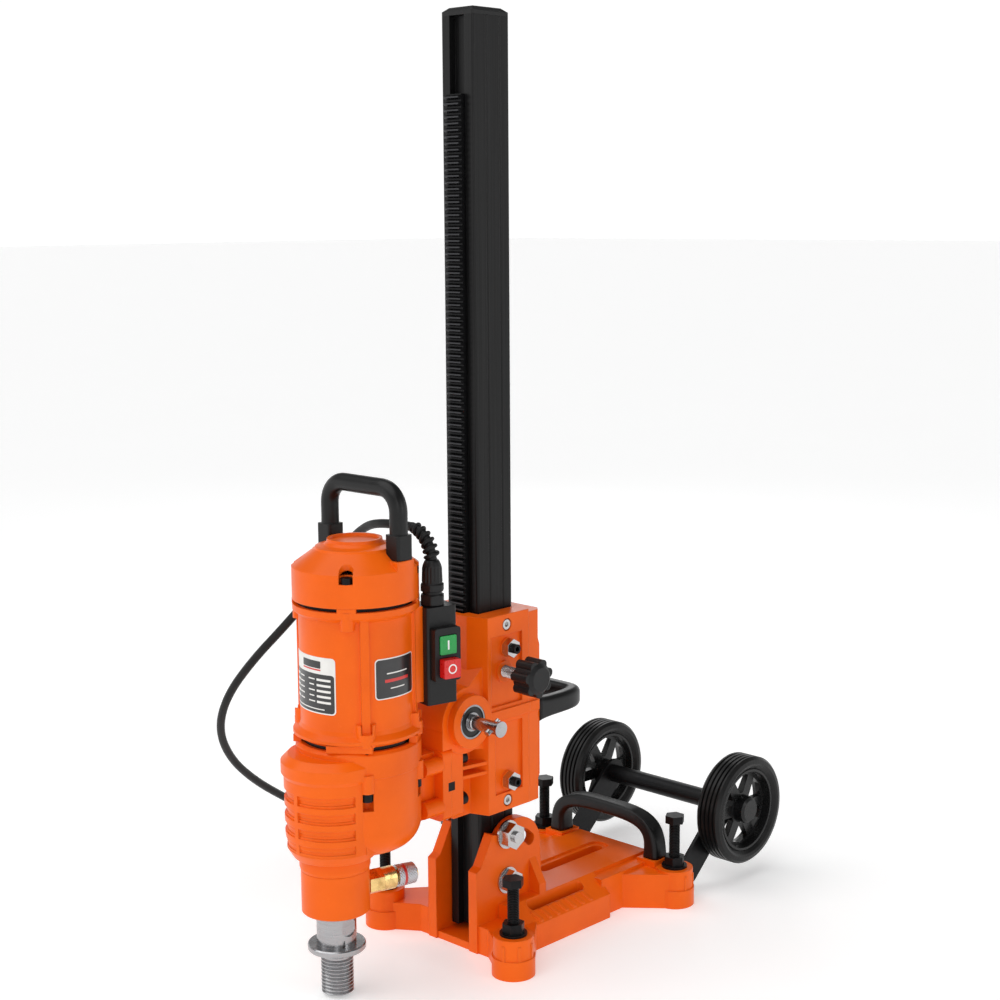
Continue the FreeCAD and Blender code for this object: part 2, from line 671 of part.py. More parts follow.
def carriage_housing():
    """The front casting: column passage, pinion case, bearing boss, neck and motor flange."""
    main = plate_xy([(-CAR_HALF, CAR_SEAM_Y), (-CAR_HALF, -36), (-24, -CAR_FRONT), (24, -CAR_FRONT),
                     (CAR_HALF, -36), (CAR_HALF, CAR_SEAM_Y)], CAR_Z0, CAR_Z1)
    case = rod(PINION_CASE_R, (-PINION_CASE_HALF, PINION_Y, PINION_Z), (1, 0, 0), 2 * PINION_CASE_HALF)
    fill = plate_yz([(-36, 306), (PINION_Y - 22, PINION_Z + 14), (PINION_Y - PINION_CASE_R, PINION_Z - 6),
                     (PINION_Y - PINION_CASE_R, JOINT_Z1), (-36, JOINT_Z1 - 10)],
                    -PINION_CASE_HALF, PINION_CASE_HALF)
    over_joint = box(-60, 60, JOINT_Y - 60, JOINT_Y, 0, JOINT_Z1 + GAP)
    case = case.fuse(fill).cut(over_joint)
    boss = rod(BOSS_R, (0, PINION_Y, PINION_Z), (1, 0, 0), BOSS_X).cut(over_joint)
    far_boss = rod(BOSS_R - 3, (0, PINION_Y, PINION_Z), (-1, 0, 0), BOSS_X).cut(over_joint)
    neck = box(-26, 26, JOINT_Y + CAR_FLANGE_T - 1, -30, CAR_Z0, JOINT_Z1 - 4)
    flange = box(-JOINT_HALF, JOINT_HALF, JOINT_Y, JOINT_Y + CAR_FLANGE_T, JOINT_Z0, JOINT_Z1)
    flange = rounded(flange, 7, (0, 1, 0))
    ribs = []
    for z in (193, 203):
        ribs += both_sides(plate_xy([(20, JOINT_Y + 6), (JOINT_HALF - 2, JOINT_Y + 6), (CAR_HALF - 1, -30),
                                     (20, -30)], z, z + 3.5))
    band = box(0, CAR_HALF + 2.2, -34, CAR_SEAM_Y, 246.5, 257)
    whole = fuse([main, case, boss, far_boss, neck, flange, band] + ribs)
    pocket_x = CAR_HALF - 3
    side = [box(pocket_x, 60, -31, 14, 261, 334), box(pocket_x, 60, -26, 14, 168, 242)]
    lands = [rod(10, (pocket_x - 2, ADJUST_Y, z), (1, 0, 0), 4.5) for z in ADJUST_Z]
    lands.append(rod(11, (pocket_x - 2, LOCK_Y, LOCK_Z), (1, 0, 0), 5.5))
    side = Part.makeCompound(side).cut(Part.makeCompound(lands + [boss]))
    cuts = [side]
    cuts.append(box(-CAVITY_X, CAVITY_X, -CAVITY_Y, 60, 0, 400))
    cuts.append(box(-RACK_W / 2 - 2, RACK_W / 2 + 2, RACK_TIP_Y - 1.5, 0, 0, 400))
    cuts.append(rod(PINION_R + MODULE + 1.2, (-PINION_W / 2 - 1.5, PINION_Y, PINION_Z), (1, 0, 0), PINION_W + 3))
    cuts.append(rod(SHAFT_R + 1.5, (-BOSS_X + 4, PINION_Y, PINION_Z), (1, 0, 0), 2 * BOSS_X))
    cuts.append(rod(BEARING_R, (BOSS_X - BEARING_W - 0.5, PINION_Y, PINION_Z), (1, 0, 0), 30))
    cuts.append(rod(BEARING_R, (-BOSS_X + 5, PINION_Y, PINION_Z), (1, 0, 0), BEARING_W))
    for z in ADJUST_Z:
        cuts.append(rod(5.0, (20, ADJUST_Y, z), (1, 0, 0), 40))
    for z in SIDE_SCREW_Z:
        cuts += both_sides(rod(6.5, (CAR_HALF - 5, SIDE_SCREW_Y, z), (1, 0, 0), 10))
    cuts.append(rod(LOCK_R + GAP, (20, LOCK_Y, LOCK_Z), (1, 0, 0), 40))
    cuts.append(box(0, CAVITY_X + 2.2, LOCK_Y - 9, LOCK_Y + 9, LOCK_Z - 9, LOCK_Z + 9))
    cuts.append(key_block(0.0))
    for x, z in joint_bolts():
        cuts.append(rod(4.2, (x, JOINT_Y - 1, z), (0, 1, 0), CAR_FLANGE_T + 2))
        cuts.append(box(x - 7.2, x + 7.2, JOINT_Y + CAR_FLANGE_T, JOINT_Y + CAR_FLANGE_T + 13, z - 7.2, z + 7.2))
    return whole.cut(Part.makeCompound(cuts))


def joint_bolts():
    """The four bolt places of the joint between carriage and gearbox."""
    return [(side * JOINT_BOLT_X, z) for side in (1, -1) for z in JOINT_BOLT_Z]


def key_block(extra):
    """The square key across the motor joint, longer by extra at each end."""
    z = (JOINT_Z0 + JOINT_Z1) / 2 - 2
    end = JOINT_HALF + extra
    return box(-end, end, JOINT_Y - KEY / 2, JOINT_Y + KEY / 2, z - KEY / 2, z + KEY / 2)


def carriage_cover():
    """The rear casting that closes the carriage behind the column."""
    plate = plate_xy([(-CAR_HALF, CAR_SEAM_Y), (CAR_HALF, CAR_SEAM_Y), (CAR_HALF - 1, CAR_BACK_Y - 6),
                      (CAR_HALF - 7, CAR_BACK_Y), (-CAR_HALF + 7, CAR_BACK_Y), (-CAR_HALF + 1, CAR_BACK_Y - 6)],
                     CAR_Z0, CAR_Z1 - 3)
    spine = plate_yz([(CAR_BACK_Y - 1, 160), (CAR_BACK_Y + 5, 172), (CAR_BACK_Y + 5, 312), (CAR_BACK_Y - 1, 330)],
                     -CAR_HALF + 9, CAR_HALF - 9)
    band = box(-CAR_HALF - 2.2, CAR_HALF + 2.2, CAR_SEAM_Y, CAR_BACK_Y - 7, 246.5, 257)
    band = band.common(box(-60, 60, 0, CAR_BACK_Y - 7, 0, 400))
    passage = box(-CAVITY_X, CAVITY_X, 0, CAVITY_Y, 0, 400)
    return fuse([plate, spine, band]).cut(passage)


def side_screws():
    """Cap screws in the carriage's sides."""
    solids = []
    for z in SIDE_SCREW_Z:
        head = rod(5.2, (CAR_HALF - 5, SIDE_SCREW_Y, z), (1, 0, 0), 4.5)
        solids += both_sides(head.cut(hexagon(5.0, (CAR_HALF - 3, SIDE_SCREW_Y, z), (1, 0, 0), 5)))
    return solids


def guide_pads():
    """Plastic slides between the carriage and the column's four faces."""
    solids = []
    for z0, z1 in ((156, 204), (308, 350)):
        solids += both_sides(box(COL_W / 2 + GAP, CAVITY_X, -20, 20, z0, z1))
        solids += both_sides(box(RACK_W / 2 + 3, 20, -CAVITY_Y, -COL_D / 2 - GAP, z0, z1))
        solids.append(box(-18, 18, COL_D / 2 + GAP, CAVITY_Y, z0, z1))
    return solids


def adjusting_screws():
    """Black grub screws that press the slides."""
    solids = []
    for z in ADJUST_Z:
        screw = rod(4.9, (CAVITY_X, ADJUST_Y, z), (1, 0, 0), 33)
        solids.append(screw.cut(hexagon(5.0, (CAVITY_X + 28, ADJUST_Y, z), (1, 0, 0), 6)))
    return solids


def adjusting_nuts():
    """Bright lock nuts on the grub screws."""
    solids = []
    for z in ADJUST_Z:
        nut = hexagon(17.0, (CAR_HALF - 0.5, ADJUST_Y, z), (1, 0, 0), 8)
        solids.append(nut.cut(rod(4.95, (CAR_HALF - 1, ADJUST_Y, z), (1, 0, 0), 20)))
    return solids


def carriage_handle():
    """The level U-shaped grip behind the carriage."""
    outer = box(-CAR_GRIP_HALF, CAR_GRIP_HALF, CAR_BACK_Y + 5, CAR_GRIP_Y, CAR_GRIP_Z0, CAR_GRIP_Z1)
    outer = rounded(outer, 14, (0, 0, 1), lambda m: m.y > CAR_GRIP_Y - 1)
    inner_half = CAR_GRIP_HALF - CAR_GRIP_T
    inner = box(-inner_half, inner_half, CAR_BACK_Y, CAR_GRIP_Y - CAR_GRIP_T, CAR_GRIP_Z0 - 1, CAR_GRIP_Z1 + 1)
    inner = rounded(inner, 9, (0, 0, 1), lambda m: m.y > CAR_GRIP_Y - CAR_GRIP_T - 1)
    legs = both_sides(box(inner_half, CAR_HALF - 9, CAR_BACK_Y + 5, CAR_BACK_Y + 12, CAR_GRIP_Z0 - 5,
                          CAR_GRIP_Z1 + 5))
    return fuse([outer.cut(inner)] + legs)


def pinion_shaft():
    """The crank shaft with its pinion, a cross pin and an end disc."""
    teeth = turned_to_x(gear(MODULE, PINION_TEETH, PINION_W, -PINION_W / 2, 0), PINION_Y, PINION_Z)
    core = turned_x([(-BOSS_X + 6, 0), (-BOSS_X + 6, SHAFT_R), (BOSS_X + 3, SHAFT_R), (BOSS_X + 4, SHAFT_NOSE_R),
                     (SHAFT_END_X - 3, SHAFT_NOSE_R), (SHAFT_END_X - 2, SHAFT_NOSE_R + 1.6),
                     (SHAFT_END_X, SHAFT_NOSE_R + 1.6), (SHAFT_END_X, 0)], PINION_Y, PINION_Z)
    pin = rod(3.2, (SHAFT_END_X - 12, PINION_Y - 8.5, PINION_Z - 5), (0, 17, 10), 19.7)
    return fuse([teeth, core, pin])


def ball_bearing(outer, inner, start, axis, width):
    """A bearing's two races with a shield between them."""
    wall = (outer - inner) * 0.24
    races = [ring(outer, outer - wall, start, axis, width), ring(inner + wall, inner, start, axis, width)]
    inset = [s + a * 0.8 for s, a in zip(start, axis)]
    return fuse(races + [ring(outer - wall, inner + wall, inset, axis, width - 1.6)])


def pinion_bearings():
    """The two bearings of the crank shaft."""
    bore = SHAFT_R + RUN
    return [ball_bearing(BEARING_R, bore, (BOSS_X - BEARING_W - 0.5, PINION_Y, PINION_Z), (1, 0, 0), BEARING_W),
            ball_bearing(BEARING_R, bore, (-BOSS_X + 5, PINION_Y, PINION_Z), (1, 0, 0), BEARING_W)]


def lock_pad():
    """The brake pad that the lock knob presses on the column."""
    x0 = COL_W / 2 + GAP
    return box(x0, x0 + PAD_T, LOCK_Y - 8, LOCK_Y + 8, LOCK_Z - 8, LOCK_Z + 8)


def lock_screw():
    """The bright screw of the lock knob."""
    x0 = COL_W / 2 + GAP + PAD_T + RUN
    screw = thread(LOCK_R, 0.9, LEVEL_PITCH, x0, KNOB_X - 6, 0, 0)
    screw.rotate(Vector(0, 0, 0), Vector(0, 1, 0), 90)
    screw.translate(Vector(0, LOCK_Y, LOCK_Z))
    return screw


def lock_knob():
    """The star knob: a hub and round lobes."""
    x0 = KNOB_X - 6
    hub = turned_x([(x0, 0), (x0, 10), (KNOB_X, 13), (KNOB_X, 16), (KNOB_X + KNOB_H - 3, 16),
                    (KNOB_X + KNOB_H, 12), (KNOB_X + KNOB_H, 0)], LOCK_Y, LOCK_Z)
    solids = [hub]
    for k in range(KNOB_LOBES):
        a = 2 * math.pi * (k + 0.3) / KNOB_LOBES
        y = LOCK_Y + (KNOB_R - 5) * math.cos(a)
        z = LOCK_Z + (KNOB_R - 5) * math.sin(a)
        solids.append(rod(5.0, (KNOB_X, y, z), (1, 0, 0), KNOB_H - 3))
    return fuse(solids)


# ================= drill motor =================

def around(turn, radius, y=MOTOR_Y):
    """A point at a radius and an angle in degrees round a vertical axis."""
    a = math.radians(turn)
    return radius * math.cos(a), y + radius * math.sin(a)


def quarter_turns(first):
    """Four angles a quarter turn apart."""
    return [first + 90 * k for k in range(4)]


def case_screw_turns():
    """The angles of the screws between gear case and motor, alike on both sides."""
    return [-CASE_SCREW_TURN, CASE_SCREW_TURN, 180 - CASE_SCREW_TURN, 180 + CASE_SCREW_TURN]


def gearbox_housing():
    """The two-lobed gear case with its neck, ribbed front, flange and bolt ears."""
    lower = rod(CASE_REAR_R, (0, MOTOR_Y, CASE_Z0), (0, 0, 1), 85)
    bottom = [edge for edge in lower.Edges if edge.CenterOfMass.z < CASE_Z0 + 1 and edge.Closed]
    lower = lower.makeFillet(28, bottom)
    bridge = box(-CASE_FRONT_R, CASE_FRONT_R, SPINDLE_Y, MOTOR_Y, CASE_Z0 + 8, 240)
    front = turned([(0, CASE_Z0), (CASE_FRONT_R - 7, CASE_Z0), (CASE_FRONT_R - 1.5, CASE_Z0 + 9), (CASE_FRONT_R, 170),
                    (CASE_FRONT_R + 0.5, 225), (CASE_FRONT_R + 3, 229), (CASE_FRONT_R + 3, 240),
                    (CASE_FRONT_R - 4, 247), (0, 247)], 0, SPINDLE_Y)
    top = turned([(0, 226), (CASE_REAR_R - 3, 226), (CASE_REAR_R + 1, 229), (CASE_REAR_R + 1, CASE_TOP - 3),
                  (CASE_REAR_R - 2, CASE_TOP), (0, CASE_TOP)], 0, MOTOR_Y)
    neck = turned([(0, NECK_Z), (NECK_R - 1, NECK_Z), (NECK_R, NECK_Z + 3), (NECK_R, CASE_Z0 + 2), (0, CASE_Z0 + 2)],
                  0, SPINDLE_Y)
    joint = box(-JOINT_HALF, JOINT_HALF, JOINT_Y - BOX_FLANGE_T, JOINT_Y, JOINT_Z0, JOINT_Z1)
    joint = rounded(joint, 7, (0, 1, 0))
    link = box(-26, 26, MOTOR_Y + 30, JOINT_Y - 6, JOINT_Z0 + 4, JOINT_Z1 - 3)
    ears = [rod(8.5, (x, JOINT_Y - BOX_FLANGE_T + 1, z), (0, -1, 0), 24) for x, z in joint_bolts()]
    webs = [box(min(x, 0), max(x, 0), JOINT_Y - BOX_FLANGE_T - 15, JOINT_Y - 6, z - 4, z + 4)
            for x, z in joint_bolts()]
    lugs = []
    for turn in case_screw_turns():
        x, y = around(turn, CASE_SCREW_R)
        lugs.append(rod(7.5, (x, y, 215), (0, 0, 1), 18))
    whole = fuse([lower, bridge, front, top, neck, joint, link] + ears + webs + lugs)
    cuts = rib_bands()
    spindle_seat = rod(23.0, (0, SPINDLE_Y, 235.3), (0, 0, 1), 20)
    cuts.append(rod(CASE_FRONT_R - 10, (0, SPINDLE_Y, 164), (0, 0, 1), 71.3))
    cuts.append(rod(CASE_REAR_R - 14, (0, MOTOR_Y, 186), (0, 0, 1), 36.5))
    cuts.append(rod(CASE_REAR_R - 7, (0, MOTOR_Y, 222), (0, 0, 1), 20).cut(spindle_seat))
    cuts.append(rod(31.0, (0, SPINDLE_Y, 147), (0, 0, 1), 20))
    cuts.append(rod(20.0, (0, SPINDLE_Y, 100), (0, 0, 1), 60))
    cuts.append(rod(14.5, (0, SPINDLE_Y, 230), (0, 0, 1), 14.5))
    cuts.append(rod(BEARING_R, (0, MOTOR_Y, 240), (0, 0, 1), 20))
    cuts.append(rod(8.0, (IDLER_X, IDLER_Y, 178), (0, 0, 1), 70))
    cuts.append(key_block(1.0))
    for x, z in joint_bolts():
        cuts.append(rod(4.05, (x, JOINT_Y + 1, z), (0, -1, 0), 34))
    for turn in case_screw_turns():
        x, y = around(turn, CASE_SCREW_R)
        cuts.append(rod(3.1, (x, y, 210), (0, 0, 1), 50))
        cuts.append(rod(6.2, (x, y, 197), (0, 0, 1), 18))
    return whole.cut(Part.makeCompound(cuts))


def rib_bands():
    """Cutters for the shallow bands across the case's front."""
    cuts = []
    for k in range(4):
        z = 155 + 16.3 * k
        for turn in (-87, -165):
            for deep, low, high in ((1.6, z, z + 10), (2.6, z + 2.2, z + 5.8)):
                sector = Part.makeCylinder(CASE_FRONT_R + 6, high - low, Vector(0, 0, low), Vector(0, 0, 1), 72)
                sector = sector.cut(rod(CASE_FRONT_R - deep, (0, 0, low), (0, 0, 1), high - low))
                sector.rotate(Vector(0, 0, 0), Vector(0, 0, 1), turn)
                sector.translate(Vector(0, SPINDLE_Y, 0))
                cuts.append(sector)
    return cuts


def in_switch_frame(shape):
    """Moves a shape from the switch's own axes to its place beside the motor."""
    shape.rotate(Vector(0, 0, 0), Vector(0, 0, 1), SWITCH_TURN)
    shape.translate(Vector(0, MOTOR_Y, 0))
    return shape


def motor_housing():
    """The motor's tube with its flange, collar, screw ridges and switch block."""
    inner = MOTOR_R - MOTOR_WALL
    shell = turned([(inner, MOTOR_Z0), (COLLAR_R - 7, MOTOR_Z0), (COLLAR_R - 6, MOTOR_Z0 + 1.5),
                    (COLLAR_R, MOTOR_Z0 + 4), (COLLAR_R, MOTOR_Z0 + 7),
                    (MOTOR_R + 1.5, MOTOR_Z0 + 11), (MOTOR_R, MOTOR_Z0 + 15), (MOTOR_R, 379), (CAP_R, 383.5),
                    (CAP_R, MOTOR_Z1), (CAP_R - 6, MOTOR_Z1), (CAP_R - 6, CAP_Z0 + 5), (inner, CAP_Z0 + 5)],
                   0, MOTOR_Y)
    lower_lip = ring(CASE_REAR_R - 6, inner, (0, MOTOR_Y, CASE_TOP), (0, 0, 1), MOTOR_Z0 - CASE_TOP)
    solids = [shell, lower_lip]
    block = in_switch_frame(box(0, SWITCH_FACE - 8, 30, SWITCH_T0, 290, SWITCH_Z1 + 1))
    block = block.cut(rod(MOTOR_R - 1, (0, MOTOR_Y, 200), (0, 0, 1), 300))
    solids.append(block)
    for turn in case_screw_turns():
        ridge = box(MOTOR_R - 2, MOTOR_R + 3, -4.2, 4.2, MOTOR_Z0 + 2, 382)
        boot = rod(9.5, (MOTOR_R - 1.5, 0, MOTOR_Z0 + 1), (0, 0, 1), 22)
        boot = boot.cut(rod(5.5, (MOTOR_R + 4.5, 0, MOTOR_Z0 + 14), (0, 0, 1), 30))
        solids += [place_round(ridge, turn), place_round(boot, turn)]
    for turn in quarter_turns(CAP_SCREW_TURN):
        solids.append(place_round(rod(7.0, (CAP_R - 6.5, 0, 372), (0, 0, 1), MOTOR_Z1 - 372), turn))
        solids.append(place_round(box(CAP_R - 7, CAP_R - 0.4, -9, 9, MOTOR_Z1 - 1, CAP_Z0), turn))
        solids.append(place_round(box(CASE_REAR_R - 8, CASE_REAR_R, -22, 22, CASE_TOP, MOTOR_Z0 + 3), turn))
    whole = fuse(solids)
    cuts = [rod(inner, (0, MOTOR_Y, 200), (0, 0, 1), 300)]
    for turn in quarter_turns(CAP_SCREW_TURN):
        x, y = around(turn, CAP_R - 5.5)
        cuts.append(rod(2.6, (x, y, 376), (0, 0, 1), 60))
    beside = in_switch_frame(box(0, 60, SWITCH_T0, 90, SWITCH_Z0, SWITCH_Z1))
    cuts.append(beside.cut(rod(MOTOR_R + 0.2, (0, MOTOR_Y, 200), (0, 0, 1), 178.8)))
    return whole.cut(Part.makeCompound(cuts))


def place_round(shape, turn):
    """Turns a shape about the motor's axis from its place on the X axis."""
    shape.rotate(Vector(0, 0, 0), Vector(0, 0, 1), turn)
    shape.translate(Vector(0, MOTOR_Y, 0))
    return shape


def motor_cap():
    """The domed end cap with the bearing seat, screw pockets and handle seats."""
    shell = turned([(CAP_R - 4, CAP_Z0), (CAP_R, CAP_Z0), (CAP_R, CAP_RIM), (39, 441), (38, 443), (30, 445),
                    (27, 447.5), (26.5, CAP_TOP), (23.5, CAP_TOP), (22.5, 448), (0, 447.5), (0, 443), (20, 443),
                    (20, 428), (24, 428), (24, 441), (36, 437), (CAP_R - 4, 422)], 0, MOTOR_Y)
    solids = [shell]
    for side in (1, -1):
        seat = box(side * MOTOR_GRIP_HALF - 12, side * MOTOR_GRIP_HALF + 12, MOTOR_GRIP_Y - 13, MOTOR_GRIP_Y + 13,
                   420, MOTOR_GRIP_Z0 - 4)
        solids.append(seat.common(rod(CAP_R, (0, MOTOR_Y, 400), (0, 0, 1), 60)))
    for turn in quarter_turns(CAP_SCREW_TURN):
        pillar = rod(10.5, (CAP_R - 5.5, 0, CAP_Z0), (0, 0, 1), 30)
        solids.append(place_round(pillar, turn).common(rod(CAP_R, (0, MOTOR_Y, 300), (0, 0, 1), 200)))
    whole = fuse(solids)
    cuts = [rod(CAP_R - 5.8, (0, MOTOR_Y, CAP_Z0 - 1), (0, 0, 1), 6.2)]
    for turn in quarter_turns(CAP_SCREW_TURN):
        x, y = around(turn, CAP_R - 5.5)
        cuts.append(rod(6.6, (x, y, CAP_Z0 + CAP_POCKET_UP), (0, 0, 1), 60))
        cuts.append(place_round(box(CAP_R - 5.5, CAP_R + 10, -6.6, 6.6, CAP_Z0 + CAP_POCKET_UP, CAP_Z0 + 100), turn))
        cuts.append(rod(3.3, (x, y, CAP_Z0 - 1), (0, 0, 1), 60))
    return whole.cut(Part.makeCompound(cuts))


def housing_screws():
    """Black cap screws: four in the end cap and four under the gear case's rim."""
    solids = []
    for turn in quarter_turns(CAP_SCREW_TURN):
        x, y = around(turn, CAP_R - 5.5)
        seat = CAP_Z0 + CAP_POCKET_UP
        head = rod(5.6, (x, y, seat), (0, 0, 1), 6).cut(hexagon(5, (x, y, seat + 3), (0, 0, 1), 6))
        solids.append(fuse([head, rod(2.5, (x, y, CAP_Z0 - 15), (0, 0, 1), CAP_POCKET_UP + 16)]))
    for turn in case_screw_turns():
        x, y = around(turn, CASE_SCREW_R)
        head = rod(5.4, (x, y, 206.5), (0, 0, 1), 8.5)
        solids.append(fuse([head, rod(3.0, (x, y, 212), (0, 0, 1), 40)]))
    return solids


def motor_handle():
    """The U-shaped grip across the end cap, on square sockets."""
    y = MOTOR_GRIP_Y
    r = MOTOR_GRIP_R
    bend = 22.0
    left = Vector(-MOTOR_GRIP_HALF, y, 0)
    right = Vector(MOTOR_GRIP_HALF, y, 0)
    up = Vector(0, 0, 1)
    low = MOTOR_GRIP_Z0 + 10
    high = MOTOR_GRIP_Z1
    inset = bend * (1 - math.sqrt(0.5))
    pieces = [
        Part.LineSegment(left + up * low, left + up * (high - bend)),
        Part.Arc(left + up * (high - bend), left + Vector(inset, 0, high - inset), left + Vector(bend, 0, high)),
        Part.LineSegment(left + Vector(bend, 0, high), right + Vector(-bend, 0, high)),
        Part.Arc(right + Vector(-bend, 0, high), right + Vector(-inset, 0, high - inset), right + up * (high - bend)),
        Part.LineSegment(right + up * (high - bend), right + up * low),
    ]
    path = Part.Wire([piece.toShape() for piece in pieces])
    section = Part.Wire([Part.Circle(left + up * low, up, r).toShape()])
    grip = path.makePipeShell([section], True, False)
    solids = [grip]
    for side in (1, -1):
        x = side * MOTOR_GRIP_HALF
        socket = box(x - 9.5, x + 9.5, y - 9.5, y + 9.5, MOTOR_GRIP_Z0 - 4, MOTOR_GRIP_Z0 + 20)
        solids.append(rounded(socket, 3, (0, 0, 1)))
    cone = turned([(0, CAP_RIM - 9), (CAP_R + 0.1, CAP_RIM - 9), (CAP_R + 0.1, CAP_RIM + 0.1), (39.1, 441.1),
                   (0, 441.1)], 0, MOTOR_Y)
    return fuse(solids).cut(cone)


def field_stator():
    """The field: a laminated ring and two coil ends."""
    outer = MOTOR_R - MOTOR_WALL - FIELD_CLEAR
    core = ring(outer, ARMATURE_R + AIR_GAP, (0, MOTOR_Y, 288), (0, 0, 1), 56)
    ends = [ring(outer - FIELD_END_STEP, ARMATURE_R + 2.5 * AIR_GAP, (0, MOTOR_Y, z), (0, 0, 1), 12)
            for z in (276, 344)]
    return [core] + ends


def armature():
    """The armature: shaft with its cut pinion, laminated core and commutator."""
    toward_idler = math.atan2(IDLER_DY, IDLER_X)
    pinion = gear(MOTOR_MODULE, MOTOR_TEETH, 15, 222.5, toward_idler)
    pinion.translate(Vector(0, MOTOR_Y, 0))
    shaft = turned([(0, 222.5), (6.5, 222.5), (7.0, 240), (7.5 - RUN, 241), (7.5 - RUN, 262), (8, 262), (8, 420),
                    (6 - RUN, 421), (6 - RUN, 440), (0, 440)], 0, MOTOR_Y)
    core = ring(ARMATURE_R, 8, (0, MOTOR_Y, 288), (0, 0, 1), 56)
    winding = [ring(30, 8, (0, MOTOR_Y, z), (0, 0, 1), 9) for z in (279, 344)]
    commutator = ring(17.5, 8, (0, MOTOR_Y, 362), (0, 0, 1), 24)
    return fuse([pinion, shaft, core, commutator] + winding)


def cooling_fan():
    """The fan on the armature, between the field and the gear case."""
    reach = MOTOR_R - MOTOR_WALL - FAN_CLEAR
    disc = ring(reach, 8, (0, MOTOR_Y, 262), (0, 0, 1), 2.5)
    hub = ring(14, 8, (0, MOTOR_Y, 262), (0, 0, 1), 13)
    blades = [place_round(box(13, reach, -0.9, 0.9, 264, 274), 30 * k) for k in range(12)]
    return fuse([disc, hub] + blades)


def brush_holders():
    """Two brush holders that reach from the housing to the commutator."""
    solids = []
    for turn in (40, 220):
        solids.append(place_round(box(18, MOTOR_R - MOTOR_WALL - 0.5, -5, 5, 366, 382), turn))
    return solids


def drive_bearings():
    """The bearings, bushes and shaft seals of the motor and gear train."""
    z = (0, 0, 1)
    return [ball_bearing(BEARING_R - 0.1, 7.5, (0, MOTOR_Y, 242.5), z, BEARING_W),
            ball_bearing(16.0, 6.0, (0, MOTOR_Y, 428.5), z, 10.0),
            ring(20.0, 16.0, (0, MOTOR_Y, 428), z, 15),
            ball_bearing(30.9, 15.0 + RUN, (0, SPINDLE_Y, 147.5), z, 16.0),
            ball_bearing(14.4, 8.0 + RUN, (0, SPINDLE_Y, 235.5), z, 9.0),
            ring(7.9, 5.0 + RUN, (IDLER_X, IDLER_Y, 178.2), z, 7.5),
            ring(7.9, 5.0 + RUN, (IDLER_X, IDLER_Y, 241.5), z, 6.2),
            ring(23.8, 17.5 + RUN, (0, SPINDLE_Y, 92), z, 8),
            ring(23.8, 17.5 + RUN, (0, SPINDLE_Y, 118), z, 8)]


def intermediate_gear():
    """The lay shaft: large wheel driven by the armature, small pinion to the spindle."""
    back_to_motor = math.atan2(-IDLER_DY, -IDLER_X)
    half_tooth = math.pi / WHEEL_TEETH
    wheel = gear(MOTOR_MODULE, WHEEL_TEETH, 10, 224.5, back_to_motor + half_tooth)
    to_spindle = math.atan2(SPINDLE_Y - IDLER_Y, -IDLER_X)
    pinion = gear(SLOW_MODULE, SLOW_PINION_TEETH, 22, 202.5, to_spindle)
    shaft = rod(5.0, (0, 0, 178.5), (0, 0, 1), 68)
    whole = fuse([wheel, pinion, shaft])
    whole.translate(Vector(IDLER_X, IDLER_Y, 0))
    return whole


def spindle_gear():
    """The slow wheel on the spindle."""
    to_idler = math.atan2(IDLER_Y - SPINDLE_Y, IDLER_X)
    wheel = gear(SLOW_MODULE, SPINDLE_TEETH, 17, 204, to_idler + math.pi / SPINDLE_TEETH)
    wheel.translate(Vector(0, SPINDLE_Y, 0))
    return wheel.cut(rod(12.5, (0, SPINDLE_Y, 200), (0, 0, 1), 30))


def spindle():
    """The drill spindle: threaded nose, disc, wrench flats and the shaft inside the case."""
    nose = thread(THREAD_R, 1.9, THREAD_PITCH, SPINDLE_TIP, THREAD_TOP, 0, SPINDLE_Y)
    body = turned([(0, THREAD_TOP - 1), (THREAD_R - 1.9, THREAD_TOP - 1), (THREAD_R - 0.6, DISC_Z - 3),
                   (THREAD_R - 0.6, DISC_Z), (DISC_R - 1, DISC_Z), (DISC_R, DISC_Z + 1.2),
                   (DISC_R, DISC_Z + DISC_H - 1.2), (DISC_R - 1, DISC_Z + DISC_H), (SPINDLE_R, DISC_Z + DISC_H),
                   (SPINDLE_R, 90), (17.5, 90), (17.5, 134), (15, 134), (15, 204), (12.5, 204), (12.5, 222), (8, 222), (8, 244), (0, 244)],
                  0, SPINDLE_Y)
    whole = fuse([nose, body])
    flats = both_sides(rod(9.0, (SPINDLE_R - 1.8, SPINDLE_Y, 73), (1, 0, 0), 10))
    slot = place_round(box(SPINDLE_R - 2, SPINDLE_R + 2, -1.3, 1.3, DISC_Z + DISC_H - 1, DISC_Z + DISC_H + 7), -20)
    slot.translate(Vector(0, SPINDLE_Y - MOTOR_Y, 0))
    return whole.cut(Part.makeCompound(flats + [slot]))


def water_sleeve():
    """The water swivel's sleeve below the gear case."""
    body = turned([(24, SLEEVE_Z0), (SLEEVE_R - 1, SLEEVE_Z0), (SLEEVE_R, SLEEVE_Z0 + 1), (SLEEVE_R, NECK_Z - 0.6),
                   (SLEEVE_R - 0.8, NECK_Z), (24, NECK_Z)], 0, SPINDLE_Y)
    inlet = valve_piece(rod(6.5, (20, 0, 107), (1, 0, 0), 20))
    return body.cut(inlet)


def valve_piece(shape):
    """Moves a shape from the X axis to the water inlet's direction on the sleeve."""
    shape.rotate(Vector(0, 0, 0), Vector(0, 0, 1), 75)
    shape.translate(Vector(0, SPINDLE_Y, 0))
    return shape


def along_x(points):
    """A turned profile about the X axis at the water inlet's height."""
    return turned_x(points, 0, 107)


